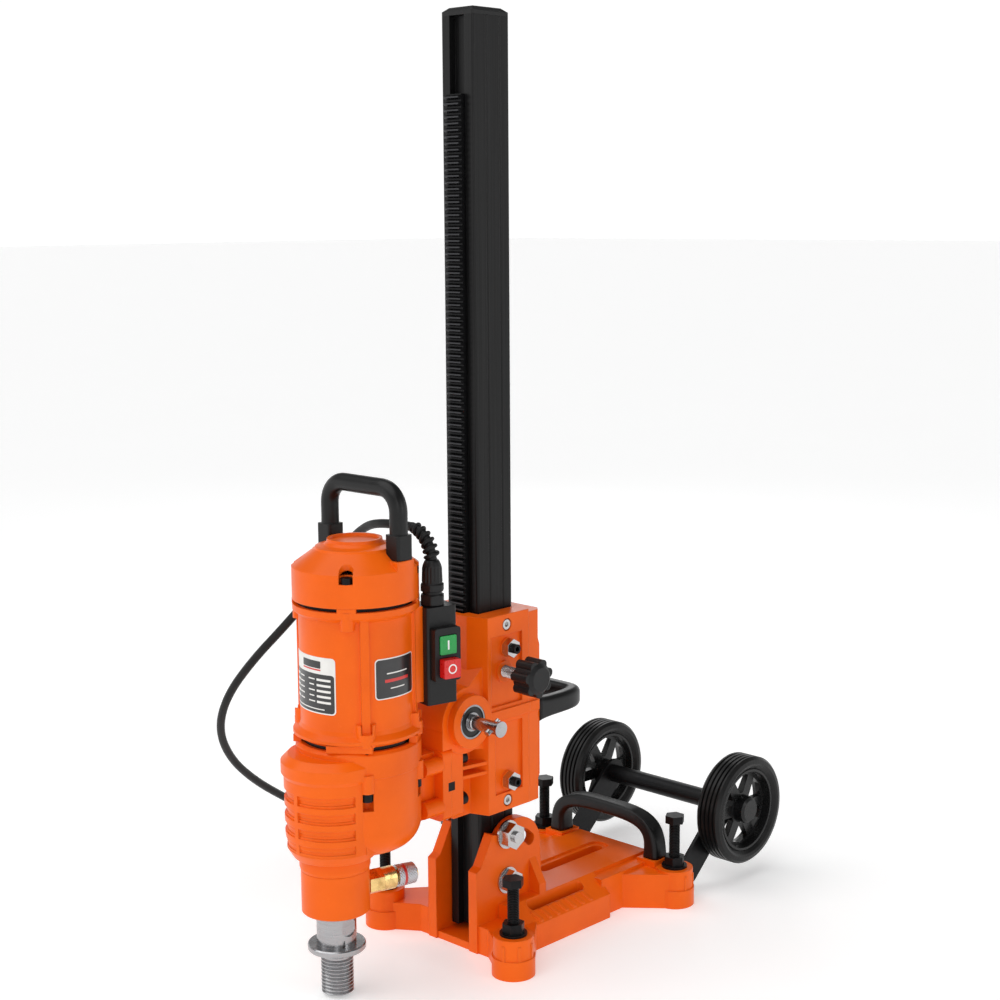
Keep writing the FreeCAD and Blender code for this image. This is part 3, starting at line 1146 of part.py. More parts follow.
def water_valve():
    """The brass inlet: threaded foot, hexagon, knurled ring and hose tail."""
    foot = along_x([(26, 3.2), (26, 6.4), (SLEEVE_R + 0.2, 6.4), (SLEEVE_R + 0.2, 3.2)])
    nut = hexagon(22.0, (SLEEVE_R - 0.6, 0, 107), (1, 0, 0), 16)
    nut = nut.cut(rod(SLEEVE_R + 0.15, (0, 0, 80), (0, 0, 1), 60)).cut(rod(3.2, (20, 0, 107), (1, 0, 0), 40))
    end = SLEEVE_R + 15
    tail = along_x([(end, 3.2), (end, 11.5), (end + 14, 11.5), (end + 15, 10.5), (end + 15, 6.0), (end + 40, 6.0),
                    (end + 40, 3.2)])
    return valve_piece(fuse([foot, nut, tail]))


def hose_collar():
    """The quick coupling's sprung collar."""
    start = SLEEVE_R + 32.5
    return valve_piece(along_x([(start, 6.0 + GAP), (start, 10.6), (start + 1, 11.2), (start + 18, 11.2),
                                (start + 20, 9.6), (start + 20, 6.0 + GAP)]))


def flange_bolts():
    """Socket screws through the motor joint."""
    solids = []
    for x, z in joint_bolts():
        back = JOINT_Y + CAR_FLANGE_T
        head = rod(6.5, (x, back, z), (0, 1, 0), 8).cut(hexagon(6, (x, back + 4, z), (0, 1, 0), 6))
        solids.append(fuse([head, rod(4.0, (x, back, z), (0, -1, 0), 44)]))
    return solids


# ================= switch =================

def switch_box():
    """The black switch enclosure, hollow, with an opening for the switch."""
    outer = box(SWITCH_BACK, SWITCH_FACE, SWITCH_T0, SWITCH_T1, SWITCH_Z0, SWITCH_Z1)
    outer = rounded(outer, 3, (0, 0, 1), lambda m: m.x > SWITCH_FACE - 1)
    inner = box(SWITCH_BACK + 3, SWITCH_FACE - 3, SWITCH_T0 + 6, SWITCH_T1 - 3, SWITCH_Z0 + 3, SWITCH_Z1 - 3)
    mouth = box(SWITCH_FACE - 5, SWITCH_FACE + 5, BUTTON_T0 - 1, BUTTON_T0 + BUTTON + 1, STOP_Z0 - 1,
                START_Z0 + BUTTON + 1)
    motor = turned([(0, 200), (MOTOR_R + 0.2, 200), (MOTOR_R + 0.2, 378.8), (CAP_R + 0.2, 383.1), (CAP_R + 0.2, 400),
                    (0, 400)], 0, MOTOR_Y)
    return in_switch_frame(outer.cut(Part.makeCompound([inner, mouth]))).cut(motor)


def switch_frame():
    """The switch's raised bezel, with a well for each button."""
    t0, t1 = BUTTON_T0 - 5.2, BUTTON_T0 + BUTTON + 5.2
    outer = box(SWITCH_FACE, SWITCH_FACE + 9, t0, t1, STOP_Z0 - 4.5, START_Z0 + BUTTON + 7.5)
    outer = rounded(outer, 3, (1, 0, 0))
    wells = [box(SWITCH_FACE - 1, SWITCH_FACE + 20, BUTTON_T0 - GAP, BUTTON_T0 + BUTTON + GAP, z - GAP,
                 z + BUTTON + GAP) for z in (START_Z0, STOP_Z0)]
    return in_switch_frame(outer.cut(Part.makeCompound(wells)))


def push_button(z0, proud):
    """A square button with softened edges, standing proud of the bezel."""
    face = SWITCH_FACE + 9 + proud
    cap = box(SWITCH_FACE - 2, face, BUTTON_T0, BUTTON_T0 + BUTTON, z0, z0 + BUTTON)
    cap = rounded(cap, 1.5, (1, 0, 0))
    return in_switch_frame(cap)


def gland_axis_point(z):
    """A point on the gland's axis at a height."""
    a = math.radians(SWITCH_TURN)
    x = GLAND_N * math.cos(a) - GLAND_T * math.sin(a)
    y = MOTOR_Y + GLAND_N * math.sin(a) + GLAND_T * math.cos(a)
    return Vector(x, y, z)


def cable_gland():
    """The screwed gland on top of the switch enclosure."""
    foot = gland_axis_point(SWITCH_Z1)
    flat_to_motor = math.degrees(math.atan2(GLAND_T, GLAND_N)) + SWITCH_TURN - 30
    base = hexagon(22.0, tuple(foot), (0, 0, 1), 12)
    body = hexagon(19.0, tuple(gland_axis_point(SWITCH_Z1 + 12)), (0, 0, 1), 26)
    for part in (base, body):
        part.rotate(foot, Vector(0, 0, 1), flat_to_motor)
    dome = turned([(0, SWITCH_Z1 + 38), (9.5, SWITCH_Z1 + 38), (9.0, SWITCH_Z1 + 43), (6.8, SWITCH_Z1 + 45),
                   (0, SWITCH_Z1 + 45)], foot.x, foot.y)
    return fuse([base, body, dome])


RELIEF_START = gland_axis_point(SWITCH_Z1 + 45)
RELIEF_END = RELIEF_START + Vector(-RELIEF_R, 0, RELIEF_R)


def bend_relief():
    """The curved bend relief, solid, from the gland to where the cord comes free."""
    middle = RELIEF_START + Vector(-RELIEF_R * (1 - math.sqrt(0.5)), 0, RELIEF_R * math.sqrt(0.5))
    path = Part.Wire([Part.Arc(RELIEF_START, middle, RELIEF_END).toShape()])
    start = Part.Wire([Part.Circle(RELIEF_START, Vector(0, 0, 1), 6.8).toShape()])
    end = Part.Wire([Part.Circle(RELIEF_END, Vector(-1, 0, 0), 6.0).toShape()])
    return path.makePipeShell([start, end], True, False)


# ================= cord =================

def cord_route():
    """The cord's route from the bend relief to the coil, points chosen by hand."""
    first = RELIEF_END
    return [first,
            first + Vector(-41, 0, 0), Vector(-64, -103, 444), Vector(-104, -96, 413), Vector(-134, -104, 372),
            Vector(-164, -123, 331), Vector(-202, -139, 289), Vector(-241, -145, 244), Vector(-273, -134, 198),
            Vector(-295, -103, 153), Vector(-310, -58, 113), Vector(-320, -6, 77), Vector(-327, 45, 43),
            Vector(-331, 92, 15), Vector(COIL_X + COIL_MEAN_R, COIL_Y, 9.5)]


def tube_along(points, radius):
    """A round tube of straight runs joined by tangent arcs, and its arcs' radii."""
    edges = []
    radii = []
    last = points[0]
    for before, corner, after in zip(points, points[1:], points[2:]):
        into = (corner - before).normalize()
        out = (after - corner).normalize()
        turn = into.getAngle(out)
        short = min((corner - before).Length, (after - corner).Length)
        reach = 0.45 * short
        start = corner - into * reach
        end = corner + out * reach
        bend = reach / math.tan(turn / 2)
        toward = (out - into).normalize()
        middle = corner + toward * (bend / math.cos(turn / 2) - bend)
        edges.append(Part.LineSegment(last, start).toShape())
        edges.append(Part.Arc(start, middle, end).toShape())
        radii.append(bend)
        last = end
    edges.append(Part.LineSegment(last, points[-1]).toShape())
    path = Part.Wire(edges)
    section = Part.Wire([Part.Circle(points[0], points[1] - points[0], radius).toShape()])
    tube = path.makePipeShell([section], True, False)
    print("cord tube length", round(path.Length), "radii", [round(r) for r in radii],
          "volume ratio", round(tube.Volume / (math.pi * radius**2 * path.Length), 4))
    return tube


def cord_coil():
    """The outer shape of the wound coil that holds the rest of the cord."""
    outer = COIL_MEAN_R + COIL_W / 2
    inner = COIL_MEAN_R - COIL_W / 2
    edge = 4.0
    wound = turned([(inner + edge, 0.05), (outer - edge, 0.05), (outer, edge), (outer, COIL_H - edge),
                    (outer - edge, COIL_H), (inner + edge, COIL_H), (inner, COIL_H - edge), (inner, edge)],
                   COIL_X, COIL_Y)
    return wound.fuse(cord_tail().cut(power_plug())).removeSplitter()


def cord_tail():
    """The short free end between the coil and the plug."""
    start = Vector(COIL_X - 20, COIL_Y + COIL_MEAN_R, COIL_H / 2)
    end = plug_entry()
    return Part.makeCylinder(CORD_R, (end - start).Length, start, end - start)


def plug_entry():
    """Where the cord goes into the plug."""
    return Vector(COIL_X - COIL_MEAN_R - 19, COIL_Y + COIL_MEAN_R, PLUG_R)


def power_plug():
    """A round two-pin mains plug lying on the ground beside the coil."""
    x = plug_entry().x
    y = plug_entry().y
    body = turned_x([(x - PLUG_L, 0), (x - PLUG_L, PLUG_R - 0.5), (x - PLUG_L + 14, PLUG_R - 0.5),
                     (x - PLUG_L + 22, PLUG_R - 5), (x - 8, 8), (x, 6), (x, 0)], y, PLUG_R)
    pins = [rod(2.4, (x - PLUG_L, y + side * 9.5, PLUG_R), (-1, 0, 0), 19) for side in (1, -1)]
    return fuse([body] + pins)


# ================= build =================

def main():
    os.makedirs("parts", exist_ok=True)
    save("base_casting", base_casting())
    save("pivot_bolt", *pivot_bolt())
    save("levelling_nuts", *levelling_nuts())
    for name, x, y in feet():
        save("levelling_screw_" + name, levelling_screw(x, y))
    save("base_handle", base_handle())
    for name, arm in zip(("right", "left"), both_sides(wheel_arm())):
        save("wheel_arm_" + name, arm)
    save("arm_bolts", *arm_bolts())
    save("axle", axle())
    for name, part in zip(("right", "left"), both_sides(tyre())):
        save("tyre_" + name, part)
    for name, part in zip(("right", "left"), both_sides(wheel_hub())):
        save("wheel_hub_" + name, part)
    save("column_profile", column_profile())
    save("column_foot", column_foot())
    save("column_cap", column_cap())
    save("gear_rack", gear_rack())
    save("clamp_bolt", *clamp_bolt())
    save("carriage_housing", carriage_housing())
    save("carriage_cover", carriage_cover())
    save("side_screws", *side_screws())
    save("guide_pads", *guide_pads())
    save("adjusting_screws", *adjusting_screws())
    save("adjusting_nuts", *adjusting_nuts())
    save("carriage_handle", carriage_handle())
    save("pinion_shaft", pinion_shaft())
    save("pinion_bearings", *pinion_bearings())
    save("lock_pad", lock_pad())
    save("lock_screw", lock_screw())
    save("lock_knob", lock_knob())
    save("joint_key", key_block(0.0))
    save("flange_bolts", *flange_bolts())
    save("gearbox_housing", gearbox_housing())
    save("motor_housing", motor_housing())
    save("motor_cap", motor_cap())
    save("housing_screws", *housing_screws())
    save("motor_handle", motor_handle())
    save("field_stator", *field_stator())
    save("armature", armature())
    save("cooling_fan", cooling_fan())
    save("brush_holders", *brush_holders())
    save("drive_bearings", *drive_bearings())
    save("intermediate_gear", intermediate_gear())
    save("spindle_gear", spindle_gear())
    save("spindle", spindle())
    save("water_sleeve", water_sleeve())
    save("water_valve", water_valve())
    save("hose_collar", hose_collar())
    save("switch_box", switch_box())
    save("switch_frame", switch_frame())
    save("start_button", push_button(START_Z0, 1.0))
    save("stop_button", push_button(STOP_Z0, 8.0))
    save("cable_gland", cable_gland())
    save("bend_relief", bend_relief())
    save("power_cord", tube_along(cord_route(), CORD_R))
    save("cord_coil", cord_coil())
    save("power_plug", power_plug())


main()
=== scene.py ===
import json
import math

import bpy
from mathutils import Matrix, Vector


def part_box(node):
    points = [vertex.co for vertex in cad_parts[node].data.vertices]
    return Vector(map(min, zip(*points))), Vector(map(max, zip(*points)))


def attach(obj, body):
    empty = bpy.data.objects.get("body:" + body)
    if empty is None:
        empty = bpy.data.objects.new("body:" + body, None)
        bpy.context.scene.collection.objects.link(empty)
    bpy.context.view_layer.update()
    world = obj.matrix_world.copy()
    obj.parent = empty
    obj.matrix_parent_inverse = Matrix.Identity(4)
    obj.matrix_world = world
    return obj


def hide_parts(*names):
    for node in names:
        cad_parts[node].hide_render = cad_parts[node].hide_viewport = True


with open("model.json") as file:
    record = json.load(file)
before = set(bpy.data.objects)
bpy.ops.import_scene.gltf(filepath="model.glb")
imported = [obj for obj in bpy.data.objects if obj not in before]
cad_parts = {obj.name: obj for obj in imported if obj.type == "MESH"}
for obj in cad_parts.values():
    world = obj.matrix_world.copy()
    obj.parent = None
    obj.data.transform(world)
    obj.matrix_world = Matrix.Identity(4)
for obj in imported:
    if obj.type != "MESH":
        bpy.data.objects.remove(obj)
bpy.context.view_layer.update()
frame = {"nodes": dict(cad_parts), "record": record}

# Looks for the core drill rig. Metres, in the CAD's own frame:
# +Z up, -Y is the drilling side, +X is the side with the crank shaft and the switch.

MM = 0.001
NODES = frame["nodes"]

MOTOR_LOW, MOTOR_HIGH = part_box("motor_cap")
MOTOR_AXIS = Vector(((MOTOR_LOW.x + MOTOR_HIGH.x) / 2, (MOTOR_LOW.y + MOTOR_HIGH.y) / 2, 0))
MOTOR_R = 55.5 * MM


def middle(node):
    """The middle of a CAD node's box."""
    low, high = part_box(node)
    return (low + high) / 2


PINION_AXIS = middle("pinion_shaft")
SPINDLE_AXIS = middle("spindle")


# ================= camera and cord =================

CAMERA_LENS = 63.494
CAMERA_AROUND = math.radians(44.532)
CAMERA_REACH = 1.77985
CAMERA_HEIGHT = 0.75409
CAMERA_DOWN = math.radians(9.206)
CAMERA_ASIDE = 0.012
CAMERA_ROLL = math.radians(-0.381)


def make_camera():
    """The camera: a three-quarter view from the drilling side, a little above the rig."""
    data = bpy.data.cameras.new("camera")
    data.lens = CAMERA_LENS
    data.sensor_width = 36.0
    data.clip_end = 100
    camera = bpy.data.objects.new("camera", data)
    bpy.context.scene.collection.objects.link(camera)
    camera.location = (CAMERA_REACH * math.sin(CAMERA_AROUND), -CAMERA_REACH * math.cos(CAMERA_AROUND),
                       CAMERA_HEIGHT)
    camera.rotation_euler = (math.pi / 2 - CAMERA_DOWN, 0, CAMERA_AROUND - CAMERA_ASIDE)
    roll = Matrix.Rotation(CAMERA_ROLL, 4, "Z")
    bpy.context.view_layer.update()
    camera.matrix_world = camera.matrix_world @ roll
    bpy.context.scene.camera = camera


CORD_R = 4.5 * MM
COIL_MIDDLE = Vector((-381, 135, 0)) * MM
COIL_LANE = 9.2 * MM
COIL_OUTER = 59.3 * MM
COIL_POINTS = 16
COIL_TURNS_IN = 2.0
COIL_TURN_DOWN = 0.3
COIL_TURNS_OUT = 2.0
COIL_FIRST = math.radians(-12)
COIL_LAST = math.radians(22)
COIL_HIGH, COIL_DROP = 14.3 * MM, 9.6 * MM

CORD_ROUTE = [
    (21.3, -115.6, 456), (-19.7, -115.6, 456), (-64, -103, 444), (-104, -96, 413), (-134, -104, 372),
    (-164, -123, 331), (-202, -139, 289), (-241, -145, 244), (-273, -134, 198), (-295, -103, 153),
    (-310, -58, 113), (-320, -6, 77), (-326, 45, 44), (-325, 88, 20)]
CORD_TAIL = [(-404, 193, 5.6), (-428, 188, 12), (-450, 185, 18)]


def coil_points():
    """The coil's turns: inwards along the top, down, and outwards along the bottom."""
    total = 2 * math.pi * (COIL_TURNS_IN + COIL_TURN_DOWN + COIL_TURNS_OUT) + COIL_LAST
    count = int(total / (2 * math.pi) * COIL_POINTS)
    spread = 1 / math.cos(math.pi / COIL_POINTS)
    points = []
    for k in range(count + 1):
        turn = total / (2 * math.pi) * k / count
        lane_in = min(turn, COIL_TURNS_IN)
        lane_out = max(0.0, turn - COIL_TURNS_IN - COIL_TURN_DOWN)
        radius = COIL_OUTER - COIL_LANE * lane_in + COIL_LANE * lane_out
        sink = min(1.0, max(0.0, (turn - COIL_TURNS_IN) / COIL_TURN_DOWN))
        z = COIL_HIGH - COIL_DROP * sink * sink * (3 - 2 * sink)
        a = COIL_FIRST + 2 * math.pi * turn
        points.append(COIL_MIDDLE + Vector((radius * spread * math.cos(a), radius * spread * math.sin(a), z)))
    return points


def make_cord():
    """The power cord, one smooth spline from the bend relief to the plug."""
    points = [Vector(p) * MM for p in CORD_ROUTE] + coil_points() + [Vector(p) * MM for p in CORD_TAIL]
    data = bpy.data.curves.new("cord", "CURVE")
    data.dimensions = "3D"
    data.bevel_depth = 1.0
    data.bevel_resolution = 5
    data.use_fill_caps = True
    spline = data.splines.new("NURBS")
    spline.points.add(len(points) - 1)
    for place, point in zip(spline.points, points):
        place.co = (*point, 1)
        place.radius = CORD_R
    spline.order_u = 3
    spline.use_endpoint_u = True
    spline.resolution_u = 10
    cord = bpy.data.objects.new("cord", data)
    bpy.context.scene.collection.objects.link(cord)
    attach(cord, "carriage")
    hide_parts("power_cord", "cord_coil")
    return cord, points


# ================= materials =================

class Surface:
    """A node material under construction, with its shader and its place on the object."""

    def __init__(self, name, colour, roughness, metallic=0.0, **sockets):
        self.material = bpy.data.materials.new(name)
        self.material.use_nodes = True
        self.tree = self.material.node_tree
        self.shader = self.tree.nodes["Principled BSDF"]
        self.material.diffuse_color = (*colour, 1)
        self.set("Base Color", (*colour, 1))
        self.set("Roughness", roughness)
        self.set("Metallic", metallic)
        for socket, value in sockets.items():
            self.set(socket.replace("_", " "), value)
        self.place = self.add("ShaderNodeTexCoord").outputs["Object"]
        self.normal = None

    def set(self, socket, value):
        self.shader.inputs[socket].default_value = value

    def add(self, kind, **values):
        """A new node, with its inputs set by name or linked from a socket."""
        node = self.tree.nodes.new(kind)
        for name, value in values.items():
            self.feed(node.inputs[name.replace("_", " ")], value)
        return node

    def feed(self, socket, value):
        if isinstance(value, bpy.types.NodeSocket):
            self.tree.links.new(value, socket)
        else:
            socket.default_value = value

    def noise(self, scale, detail=3.0, stretch=None, roughness=0.5):
        """A noise from 0 to 1, scaled per metre, stretched along the axes if asked."""
        place = self.place
        if stretch:
            place = self.add("ShaderNodeMapping", Vector=place, Scale=stretch).outputs["Vector"]
        return self.add("ShaderNodeTexNoise", Vector=place, Scale=scale, Detail=detail,
                        Roughness=roughness).outputs["Fac"]

    def span(self, value, low, high, start=0.0, end=1.0):
        """A value from start to end, carried over to low to high."""
        node = self.add("ShaderNodeMapRange", Value=value)
        for name, number in (("From Min", start), ("From Max", end), ("To Min", low), ("To Max", high)):
            node.inputs[name].default_value = number
        return node.outputs["Result"]

    def math(self, operation, first, second=None):
        """One step of arithmetic on values or sockets."""
        node = self.tree.nodes.new("ShaderNodeMath")
        node.operation = operation
        self.feed(node.inputs[0], first)
        if second is not None:
            self.feed(node.inputs[1], second)
        return node.outputs[0]

    def split(self):
        """The place's X, Y and Z, by name."""
        return self.add("ShaderNodeSeparateXYZ", Vector=self.place).outputs

    def distance(self, centre, axes):
        """How far a point is from centre, counting only the axes that are 1."""
        back = tuple(-place * axis for place, axis in zip(centre, axes))
        shifted = self.add("ShaderNodeMapping", Vector=self.place, Location=back, Scale=axes)
        length = self.tree.nodes.new("ShaderNodeVectorMath")
        length.operation = "LENGTH"
        self.feed(length.inputs[0], shifted.outputs["Vector"])
        return length.outputs["Value"]

    def mix(self, amount, first, second):
        """A colour between two colours."""
        node = self.tree.nodes.new("ShaderNodeMix")
        node.data_type = "RGBA"
        self.feed(node.inputs[0], amount)
        self.feed(node.inputs[6], first)
        self.feed(node.inputs[7], second)
        return node.outputs[2]

    def colour(self, value):
        self.feed(self.shader.inputs["Base Color"], value)

    def roughness(self, value):
        self.feed(self.shader.inputs["Roughness"], value)

    def soften(self, radius):
        """Rounds the look of hard edges, as casting and moulding do."""
        node = self.add("ShaderNodeBevel", Radius=radius)
        node.samples = 6
        self.normal = node.outputs["Normal"]
        self.feed(self.shader.inputs["Normal"], self.normal)
        return self.normal

    def bump(self, height, distance, strength=1.0):
        """A relief of that height in metres, on top of what is there."""
        node = self.add("ShaderNodeBump", Height=height, Distance=distance, Strength=strength)
        if self.normal:
            self.feed(node.inputs["Normal"], self.normal)
        self.normal = node.outputs["Normal"]
        self.feed(self.shader.inputs["Normal"], self.normal)

    def edges(self):
        """How much a point lies on a softened edge, from 0 to 1."""
        flat = self.add("ShaderNodeNewGeometry").outputs["Normal"]
        node = self.tree.nodes.new("ShaderNodeVectorMath")
        node.operation = "DOT_PRODUCT"
        self.feed(node.inputs[0], self.normal)
        self.feed(node.inputs[1], flat)
        return self.span(node.outputs["Value"], 1.0, 0.0, 0.75, 0.995)


def orange_paint(name="orange_paint"):
    """Powder-coated castings: a fine orange-peel skin, a little dust, and thin paint on the edges."""
    s = Surface(name, (0.90, 0.095, 0.003), 0.36, Specular_IOR_Level=0.18, Coat_Weight=0.05,
                Coat_Roughness=0.16)
    s.soften(1.3 * MM)
    worn = s.edges()
    cloud = s.noise(14, 4)
    skin = s.mix(s.span(cloud, 0.0, 1.0, 0.3, 0.7), (0.82, 0.112, 0.002, 1), (0.93, 0.138, 0.003, 1))
    speck = s.span(s.noise(420, 2), 0.0, 1.0, 0.62, 0.75)
    skin = s.mix(s.span(speck, 0.0, 0.18), skin, (0.98, 0.20, 0.03, 1))
    scuff = s.span(s.noise(95, 5, (1, 1, 0.35)), 0.0, 1.0, 0.45, 0.7)
    wear = s.math("MULTIPLY", worn, s.span(scuff, 0.05, 0.42))
    s.colour(s.mix(wear, skin, (1.0, 0.30, 0.08, 1)))
    s.roughness(s.span(s.noise(55, 5), 0.27, 0.43))
    s.bump(s.noise(620, 2), 0.12 * MM, 0.30)
    s.bump(s.noise(160, 3), 0.25 * MM, 0.16)
    return s


def wheel_plastic():
    """Moulded wheel centres: black, smoother and glossier than the grips."""
    s = Surface("wheel_plastic", (0.006, 0.006, 0.006), 0.28, Specular_IOR_Level=0.3)
    s.soften(0.8 * MM)
    s.colour(s.mix(s.noise(30, 3), (0.004, 0.004, 0.004, 1), (0.009, 0.009, 0.0095, 1)))
    s.roughness(s.span(s.noise(130, 4), 0.2, 0.36))
    s.bump(s.noise(900, 2), 0.05 * MM, 0.2)
    return s.material


def black_profile():
    """The anodised column: fine drawing lines along its length and faint rubbed bands."""
    s = Surface("black_profile", (0.006, 0.006, 0.006), 0.34, 0.0, Specular_IOR_Level=0.22)
    s.soften(0.6 * MM)
    lines = s.noise(900, 3, (1, 1, 0.006))
    s.colour(s.mix(s.span(lines, 0.0, 1.0, 0.35, 0.7), (0.003, 0.003, 0.003, 1), (0.010, 0.010, 0.0105, 1)))
    s.roughness(s.span(s.noise(70, 4, (1, 1, 0.05)), 0.26, 0.44))
    s.bump(lines, 0.06 * MM, 0.25)
    return s.material


def rack_steel():
    """The blackened rack, its tooth tips polished by the pinion, with a film of grease."""
    s = Surface("rack_steel", (0.008, 0.008, 0.0085), 0.34, 0.6, Specular_IOR_Level=0.25)
    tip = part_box("gear_rack")[0].y
    polished = s.span(s.split()["Y"], 1.0, 0.0, tip + 0.15 * MM, tip + 0.9 * MM)
    dark = s.mix(s.noise(160, 4), (0.005, 0.005, 0.0055, 1), (0.014, 0.014, 0.015, 1))
    s.colour(s.mix(polished, dark, (0.045, 0.045, 0.048, 1)))
    s.roughness(s.span(s.noise(240, 4), 0.22, 0.5))
    s.bump(s.noise(700, 3), 0.05 * MM, 0.3)
    return s.material


def black_plastic(name="black_plastic", grain=520, shade=0.007, roughness=0.42):
    """Moulded black plastic with a fine spark-eroded grain and paler rubbed edges."""
    s = Surface(name, (shade, shade, shade * 1.04), roughness, Specular_IOR_Level=0.3)
    s.soften(0.9 * MM)
    worn = s.edges()
    deep = (shade * 0.7, shade * 0.7, shade * 0.75, 1)
    pale = (shade * 1.5, shade * 1.5, shade * 1.55, 1)
    body = s.mix(s.noise(40, 3), deep, pale)
    s.colour(s.mix(s.span(worn, 0.0, 0.35), body, (0.03, 0.03, 0.031, 1)))
    s.roughness(s.span(s.noise(110, 4), roughness - 0.09, roughness + 0.08))
    s.bump(s.noise(grain * 2, 2), 0.09 * MM, 0.35)
    return s.material


def black_steel():
    """Black-oxide screws and nuts: slightly metallic, oily, with bare glints on the edges."""
    s = Surface("black_steel", (0.008, 0.008, 0.0085), 0.36, 0.5, Specular_IOR_Level=0.25)
    s.soften(0.35 * MM)
    worn = s.edges()
    body = s.mix(s.noise(260, 4), (0.004, 0.004, 0.005, 1), (0.014, 0.014, 0.0145, 1))
    s.colour(s.mix(s.span(worn, 0.0, 0.6), body, (0.06, 0.058, 0.055, 1)))
    s.roughness(s.span(s.noise(300, 3), 0.26, 0.46))
    s.bump(s.noise(1100, 2), 0.03 * MM, 0.3)
    return s.material


def zinc(name="bright_zinc", tint=(0.58, 0.58, 0.59)):
    """Bright zinc-plated fasteners with a faint mottle."""
    s = Surface(name, tint, 0.2, 1.0)
    s.soften(0.3 * MM)
    warm = (tint[0] * 1.04, tint[1] * 0.99, tint[2] * 0.92, 1)
    cool = (tint[0] * 0.86, tint[1] * 0.89, tint[2] * 0.93, 1)
    s.colour(s.mix(s.noise(150, 3), warm, cool))
    s.roughness(s.span(s.noise(420, 4), 0.13, 0.30))
    s.bump(s.noise(900, 2), 0.02 * MM, 0.3)
    return s.material


def turned_steel(name, axis, colour=(0.46, 0.46, 0.47)):
    """Machined steel with fine tool marks round one axis."""
    s = Surface(name, colour, 0.24, 1.0, Anisotropic=0.4)
    s.soften(0.3 * MM)
    stretch = {"X": (1, 0.02, 0.02), "Z": (0.02, 0.02, 1)}[axis]
    marks = s.noise(2600, 2, stretch)
    shade = tuple(c * 0.72 for c in colour)
    s.colour(s.mix(s.span(marks, 0.0, 0.8, 0.3, 0.7), (*colour, 1), (*shade, 1)))
    s.roughness(s.span(s.noise(180, 4), 0.17, 0.34))
    s.bump(marks, 0.02 * MM, 0.35)
    return s.material


def brass():
    """Machined brass, a little tarnished in patches."""
    s = Surface("brass", (0.80, 0.56, 0.22), 0.24, 1.0)
    s.soften(0.35 * MM)
    tarnish = s.span(s.noise(130, 5), 0.0, 1.0, 0.42, 0.72)
    s.colour(s.mix(tarnish, (0.86, 0.61, 0.25, 1), (0.50, 0.31, 0.11, 1)))
    s.roughness(s.span(s.noise(330, 4), 0.15, 0.36))
    s.bump(s.noise(1500, 2, (1, 1, 0.05)), 0.02 * MM, 0.3)
    return s.material


def rubber(name, shade, roughness, grain):
    """Black rubber, dusty in its grain."""
    s = Surface(name, (shade, shade, shade), roughness, Specular_IOR_Level=0.25)
    dust = s.span(s.noise(60, 5), 0.0, 0.35, 0.45, 0.75)
    s.colour(s.mix(dust, (shade, shade, shade * 1.03, 1), (0.022, 0.021, 0.02, 1)))
    s.roughness(s.span(s.noise(150, 4), roughness - 0.1, roughness + 0.1))
    s.bump(s.noise(grain, 3), 0.12 * MM, 0.4)
    return s


def slide_plastic():
    """Pale bearing plastic of the slides."""
    s = Surface("slide_plastic", (0.62, 0.61, 0.57), 0.4)
    s.colour(s.mix(s.noise(60, 3), (0.55, 0.54, 0.50, 1), (0.68, 0.67, 0.63, 1)))
    s.bump(s.noise(800, 2), 0.04 * MM, 0.3)
    return s.material


def windings():
    """Varnished copper windings and laminations inside the motor."""
    s = Surface("windings", (0.35, 0.14, 0.06), 0.4, 0.6)
    s.colour(s.mix(s.noise(300, 2, (1, 1, 6)), (0.40, 0.16, 0.06, 1), (0.12, 0.11, 0.11, 1)))
    s.bump(s.noise(500, 2, (1, 1, 8)), 0.2 * MM, 0.5)
    return s.material


def button_plastic(name, colour):
    """Glossy switch plastic with a light crown of wear."""
    s = Surface(name, colour, 0.28, Coat_Weight=0.2, Coat_Roughness=0.12)
    s.soften(0.7 * MM)
    worn = s.edges()
    light = tuple(min(1.0, c * 1.5 + 0.03) for c in colour)
    deep = tuple(c * 0.82 for c in colour)
    body = s.mix(s.noise(90, 3), (*colour, 1), (*deep, 1))
    s.colour(s.mix(s.span(worn, 0.0, 0.5), body, (*light, 1)))
    s.roughness(s.span(s.noise(260, 3), 0.22, 0.36))
    s.bump(s.noise(1200, 2), 0.02 * MM, 0.25)
    return s.material


def printed(name, colour, roughness=0.32):
    """Printed film of the rating plates, with faint rubbing."""
    s = Surface(name, colour, roughness, Coat_Weight=0.4, Coat_Roughness=0.15)
    light = tuple(min(1.0, c * 1.15 + 0.01) for c in colour)
    s.colour(s.mix(s.span(s.noise(120, 5), 0.0, 0.6, 0.4, 0.8), (*colour, 1), (*light, 1)))
    s.roughness(s.span(s.noise(300, 3), roughness - 0.06, roughness + 0.1))
    return s.material


def knurled():
    """Chromed steel of the knurled collar."""
    s = Surface("knurled_chrome", (0.62, 0.62, 0.64), 0.2, 1.0)
    s.colour(s.mix(s.noise(700, 3), (0.66, 0.66, 0.68, 1), (0.42, 0.42, 0.45, 1)))
    s.roughness(s.span(s.noise(500, 3), 0.14, 0.32))
    s.bump(s.noise(1600, 2), 0.02 * MM, 0.3)
    return s.material


SEAL_INNER_R, SEAL_OUTER_R = 9.6 * MM, 15.6 * MM


